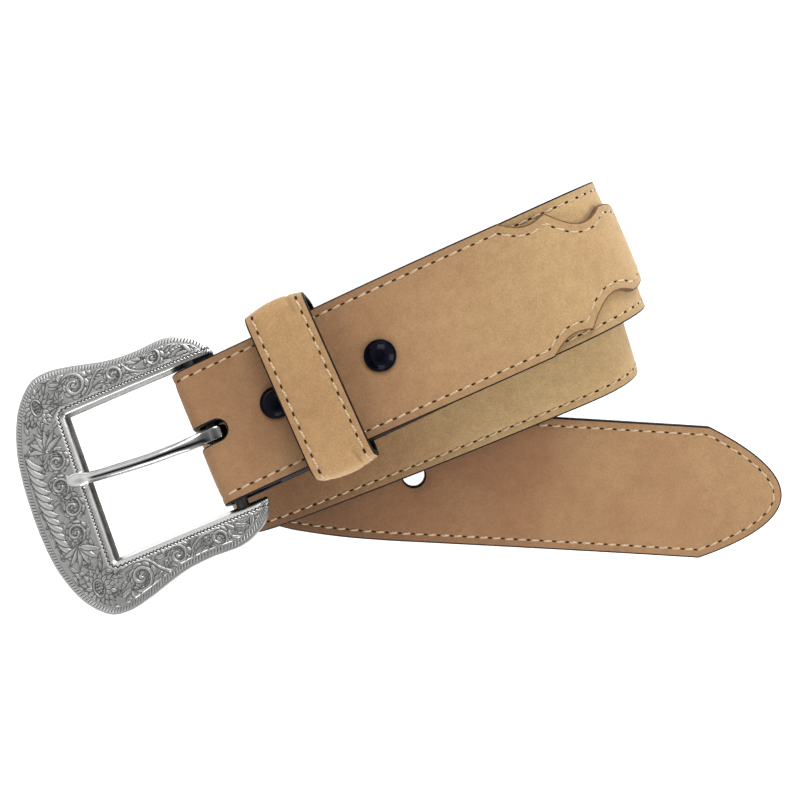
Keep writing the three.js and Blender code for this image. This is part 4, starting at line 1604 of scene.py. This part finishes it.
    def build(self, finishes: "Finishes") -> None:
        """Makes the frame with its bar."""
        inner, outer, inner_way, outer_way = self.ribs_of(self.ribs)
        v = np.linspace(0, 1, self.rib_points)
        plane = inner[:, None] * (1 - v[None, :, None]) + outer[:, None] * v[None, :, None]
        flat = plane.reshape(-1, 2)
        height, marks = self.relief(flat)
        marks["inner_way"], marks["outer_way"] = np.repeat(inner_way, len(v)), np.repeat(outer_way, len(v))
        top = np.column_stack([flat, height - self.fall(flat[:, 0])])
        n, m = self.ribs, self.rib_points
        index = np.arange(n * m).reshape(n, m)
        near, far = index[:-1], index[1:]
        faces = [np.stack([near[:, :-1], far[:, :-1], far[:, 1:], near[:, 1:]], -1).reshape(-1, 4)]
        points, patina, count = [top], [marks["patina_and_painted_shade"]], n * m
        half = self.thickness / 2
        low_rows = []
        middle = (inner + outer) / 2
        for edge, column in ((inner, 0), (outer, m - 1)):
            rim = index[:, column]
            rows = [rim]
            start = -0.6 if column == 0 else 0.6
            for pull, z in ((0.0, start), (0.0, -half + 0.7), (0.25, -half + 0.18), (0.8, -half)):
                way = unit(middle - edge + TINY)
                ring = edge + way * np.minimum(pull, 0.4 * np.linalg.norm(middle - edge, axis=1))[:, None]
                points.append(np.column_stack([ring, z - self.fall(ring[:, 0])]))
                patina.append(np.full(n, 0.92 if column == 0 else 0.6))
                rows.append(count + np.arange(n))
                count += n
            for a, b in zip(rows, rows[1:]):
                quad = np.stack([a[:-1], b[:-1], b[1:], a[1:]], 1)
                faces.append(quad[:, ::-1] if column == 0 else quad)
            low_rows.append(rows[-1])
        rows = [low_rows[0]]
        a_ring, b_ring = points[1 + 3], points[1 + 7]
        for k in range(1, self.back_steps):
            share = k / self.back_steps
            ring = a_ring * (1 - share) + b_ring * share
            ring[:, 2] = -half - self.fall(ring[:, 0]) + self.back_hollow * math.sin(math.pi * share)
            points.append(ring)
            patina.append(np.full(n, self.back_dark))
            rows.append(count + np.arange(n))
            count += n
        rows.append(low_rows[1])
        for a, b in zip(rows, rows[1:]):
            faces.append(np.stack([a[:-1], b[:-1], b[1:], a[1:]], 1))
        bar_points, bar_faces = self.bar()
        all_points = np.concatenate([*points, bar_points])
        marks["patina_and_painted_shade"] = np.concatenate([*patina, np.full(len(bar_points), self.bar_dark)])
        for key in ("inner_gap", "outer_gap", "inner_way", "outer_way"):
            marks[key] = np.concatenate([marks[key], np.full(len(all_points) - n * m, FAR)])
        quads = np.concatenate(faces).tolist() + [[i + count for i in face] for face in bar_faces]
        quads += self._end_caps(index, rows)
        piece = make_piece(
            "buckle_cast_frame", placed(all_points, self.matrix()), quads, [finishes.silver], Body.BUCKLE,
            marks=marks,
        )
        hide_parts("buckle_frame")

    def _end_caps(self, index: Array, rows: list[Array]) -> list:
        """Closes the two arm ends."""
        n, m = self.ribs, self.rib_points
        side = n * m
        caps = []
        for end in (0, n - 1):
            top = index[end].tolist()
            inner = [side + k * n + end for k in range(4)]
            outer = [side + (4 + k) * n + end for k in range(4)]
            back = [int(row[end]) for row in rows[1:-1]]
            loop = top + outer + back[::-1] + inner[::-1]
            caps.append(loop if end == 0 else loop[::-1])
        return caps

    def bar(self) -> tuple[Array, list]:
        """The bar that joins the arms."""
        sides, half = 32, self.window_half + self.bar_in_arm
        a = np.arange(sides) * 2 * np.pi / sides
        ring = np.stack([self.bar_radius * np.cos(a), np.zeros(sides), self.bar_radius * np.sin(a)], 1)
        rows = [ring + np.array([0, y, 0]) for y in np.linspace(-half, half, self.bar_rings)]
        k = np.arange(sides)
        faces = tube_quads(self.bar_rings, sides, flipped=True).tolist()
        faces += [k.tolist(), ((self.bar_rings - 1) * sides + k)[::-1].tolist()]
        return np.concatenate(rows), faces


@dataclass
class Prong:
    """The prong: curled round the bar, bowed over the window, with a domed tip on the bow."""

    buckle: Buckle
    wall: float = 1.3
    clearance: float = 0.3
    width: float = 3.6
    tip_x: float = -38.4
    sides: int = 40
    curl_rings: int = 56
    easing_rings: int = 24

    def rows(self, curl_top: float) -> Array:
        """Its middle line from the nose: x, height, y, half width and half height."""
        bow = self.buckle.thickness / 2 - self.buckle.fall(self.tip_x) + self.clearance
        return np.array([
            (-41.3, bow + 0.9, 3.25, 0.2, 0.2), (-41.1, bow + 1.0, 3.22, 0.9, 0.6),
            (-40.5, bow + 1.15, 3.14, 1.5, 0.95), (-39.4, bow + 1.3, 2.96, 1.95, 1.2),
            (-38, bow + 1.4, 2.7, 2.08, 1.3), (-36.4, bow + 1.5, 2.4, 1.9, 1.35),
            (-35, bow + 1.7, 2.15, 1.58, 1.4), (-32.6, bow + 2.1, 1.65, 1.55, 1.5),
            (-27, bow + 2.8, 0.9, 1.6, 1.5), (-18, curl_top + 1.7, -0.1, 1.6, 1.5),
            (-11, curl_top + 0.75, -0.2, 1.62, 1.4), (-7, curl_top + 0.1, -0.2, 1.75, 1.2),
            (-3.4, curl_top - 0.65, 0, 1.8, 0.8),
        ])

    def build(self, finishes: "Finishes") -> None:
        """Makes the prong as one swept piece."""
        inner = self.buckle.bar_radius + self.clearance
        middle = inner + self.wall / 2
        table = catmull(self.rows(inner + self.wall), 9)
        curl = np.radians(np.linspace(112, -196, self.curl_rings))
        line = np.stack([middle * np.cos(curl), middle * np.sin(curl)], 1)
        centre = np.vstack([table[:, :2], line])
        way = unit(np.gradient(table[:, :2], axis=0))
        up = np.vstack([np.stack([-way[:, 1], way[:, 0]], 1), line / middle])
        rings, easing = self.curl_rings, self.easing_rings
        lean = np.concatenate([table[:, 2], np.zeros(rings)])[:, None]
        widths = np.concatenate([table[:, 3], np.full(rings, self.width / 2)])[:, None]
        heights = np.concatenate([table[:, 4], np.full(rings, self.wall / 2)])[:, None]
        squareness = (np.ones(len(table) - easing), np.linspace(1, 0.6, easing), np.full(rings, 0.45))
        power = np.concatenate(squareness)[:, None]
        a = np.arange(self.sides) * 2 * np.pi / self.sides
        c = np.sign(np.cos(a)) * np.abs(np.cos(a)) ** power * widths
        s = np.sign(np.sin(a)) * np.abs(np.sin(a)) ** power * heights
        x, z = centre[:, :1] + up[:, :1] * s, centre[:, 1:] + up[:, 1:] * s
        points = np.stack([x, c + lean, z], -1).reshape(-1, 3)
        count, k = len(centre), np.arange(self.sides)
        faces = tube_quads(count, self.sides).tolist()
        faces += [k[::-1].tolist(), ((count - 1) * self.sides + k).tolist()]
        # Painted reflection and shade: a dark line near the top of the shank, darker flanks and a dark curl
        # at the bar. The tip is left bright.
        x = np.repeat(centre[:, 0], self.sides)
        on_shank = smooth(x, -35.5, -33) * smooth(-x, 1.5, 3)
        turn = np.tile(np.degrees(a), count)
        line = np.exp(-(((turn - 104) / 15) ** 4))
        flank = 0.55 * smooth(np.abs(turn - 90), 22, 48)
        marks = {"painted_shade_and_reflection": np.maximum(on_shank * np.maximum(line, flank), 0.7 * smooth(x, -7, -3.5))}
        piece = make_piece(
            "prong_shank", placed(points, self.buckle.matrix()), faces, [finishes.nickel], Body.PRONG,
            marks=marks,
        )
        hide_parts("prong")


@dataclass
class Finishes:
    """The materials of all the pieces."""

    strap: bpy.types.Material
    billet: bpy.types.Material
    keeper: bpy.types.Material
    edge: bpy.types.Material
    lining: bpy.types.Material
    thread: bpy.types.Material
    needle_shade: bpy.types.Material
    cut: bpy.types.Material
    silver: bpy.types.Material
    nickel: bpy.types.Material
    enamel: bpy.types.Material
    floor: bpy.types.Material


def make_finishes() -> Finishes:
    """Builds every material once."""
    return Finishes(
        strap=Nubuck("strap_nubuck").make(),
        billet=Nubuck("billet_nubuck").make(),
        keeper=Nubuck("keeper_nubuck", brown=(0.31, 0.165, 0.075), yellow=(0.52, 0.335, 0.15)).make(),
        edge=PaintedEdge("painted_edge").make(),
        lining=Lining("dark_lining").make(),
        thread=Thread("cream_thread").make(),
        needle_shade=NeedleHoleShade("needle_hole_painted_shade").make(),
        cut=CutEdge("cut_leather_edge").make(),
        silver=AntiqueSilver("antique_silver").make(),
        nickel=PaintedShadeNickel("nickel_with_painted_shade").make(),
        enamel=BlackEnamel("black_enamel").make(),
        floor=PaleFloor("pale_floor").make(),
    )


@dataclass(frozen=True)
class SoftBox:
    """A square studio light, placed in metres and aimed at the belt."""

    name: str
    place: Colour
    size: float
    watts: float


@dataclass
class Studio:
    """The pale floor, the lights and the camera."""

    camera_place: Colour = (14.33, 11.92, 325.4)
    roll: float = 25.4
    tilt: float = 4.5
    focal_pixels: float = 995.1
    image_size: int = 800
    sensor: float = 36.0
    floor_height: float = -0.15
    floor_half: float = 1500.0
    floor_lines: int = 25
    boxes: tuple[SoftBox, ...] = (
        SoftBox("far_box", (0.37, 0.79, 0.52), 0.6, 6.5),
        SoftBox("right_box", (0.79, -0.37, 0.55), 0.5, 4.5),
        SoftBox("near_box", (-0.37, -0.79, 0.5), 0.6, 4.5),
    )
    surround: tuple[tuple[float, float], ...] = (
        (0.0, 0.45), (0.3, 0.9), (0.7, 0.9), (0.87, 0.5), (0.94, 0.32), (0.985, 0.24), (1.0, 0.04),
    )

    def build(self, finishes: Finishes) -> None:
        """Makes the floor, the lights, the world and the camera."""
        bpy.context.scene.view_settings.view_transform = "Standard"
        self._floor(finishes.floor)
        for box in self.boxes:
            self._light(box)
        self._world()
        self._camera()

    def _floor(self, material: bpy.types.Material) -> None:
        """A wide pale floor, with a fine grid of faces."""
        count = self.floor_lines
        line = np.linspace(-self.floor_half, self.floor_half, count)
        grid = np.stack(np.meshgrid(line, line, indexing="ij"), -1).reshape(-1, 2)
        points = np.column_stack([grid, np.full(len(grid), self.floor_height)]) * MM
        k = np.arange(count * count).reshape(count, count)
        faces = np.stack([k[:-1, :-1], k[1:, :-1], k[1:, 1:], k[:-1, 1:]], -1).reshape(-1, 4)
        mesh = bpy.data.meshes.new("floor")
        mesh.from_pydata(points.tolist(), [], faces.tolist())
        mesh.materials.append(material)
        floor = bpy.data.objects.new("floor", mesh)
        bpy.context.scene.collection.objects.link(floor)

    def _light(self, box: SoftBox) -> None:
        """One soft box, aimed at the belt."""
        lamp = bpy.data.lights.new(box.name, "AREA")
        lamp.shape, lamp.size, lamp.energy = "SQUARE", box.size, box.watts
        light = bpy.data.objects.new(box.name, lamp)
        light.location = box.place
        light.rotation_euler = (-Vector(box.place)).to_track_quat("-Z", "Y").to_euler()
        bpy.context.scene.collection.objects.link(light)

    def _world(self) -> None:
        """A soft surround by height: bright all round, and dark straight overhead where the camera is."""
        world = bpy.data.worlds.new("studio")
        world.use_nodes = True
        tree = world.node_tree
        tree.nodes.clear()
        place = tree.nodes.new("ShaderNodeTexCoord")
        split = tree.nodes.new("ShaderNodeSeparateXYZ")
        ramp = tree.nodes.new("ShaderNodeValToRGB")
        back = tree.nodes.new("ShaderNodeBackground")
        out = tree.nodes.new("ShaderNodeOutputWorld")
        tree.links.new(place.outputs["Generated"], split.inputs[0])
        tree.links.new(split.outputs["Z"], ramp.inputs[0])
        tree.links.new(ramp.outputs[0], back.inputs["Color"])
        tree.links.new(back.outputs[0], out.inputs["Surface"])
        for position, tone in self.surround[1:-1]:
            ramp.color_ramp.elements.new(position).color = (tone, tone, tone, 1)
        for element, (position, tone) in zip(ramp.color_ramp.elements, self.surround):
            element.position, element.color = position, (tone, tone, tone, 1)
        back.inputs["Strength"].default_value = 1.0
        bpy.context.scene.world = world

    def _camera(self) -> None:
        """The camera at the photo's angle, looking down with a roll."""
        c, s = math.cos(math.radians(self.roll)), math.sin(math.radians(self.roll))
        ct, st = math.cos(math.radians(self.tilt)), math.sin(math.radians(self.tilt))
        right, up = Vector((c, -s, 0)), Vector((s * ct, c * ct, -st))
        back = Vector((s * st, c * st, ct))
        data = bpy.data.cameras.new("camera")
        data.sensor_width = self.sensor
        data.lens = self.focal_pixels / self.image_size * self.sensor
        data.clip_start, data.clip_end = 0.01, 20
        camera = bpy.data.objects.new("camera", data)
        turn = Matrix((right, up, back)).transposed().to_4x4()
        camera.matrix_world = Matrix.Translation(Vector(self.camera_place) * MM) @ turn
        bpy.context.scene.collection.objects.link(camera)
        bpy.context.scene.camera = camera


def main() -> None:
    """Builds the belt piece by piece."""
    logging.basicConfig(level=logging.INFO, format="%(name)s: %(message)s")
    finishes = make_finishes()
    coil = Coil()
    Strap(coil).build(finishes)
    Billet(coil).build(finishes)
    Keeper(coil).build(finishes)
    for number in (1, 2):
        Snap(coil, number).build(finishes)
    buckle = Buckle(coil)
    buckle.build(finishes)
    Prong(buckle).build(finishes)
    Studio().build(finishes)


if __name__ == "__main__":
    main()
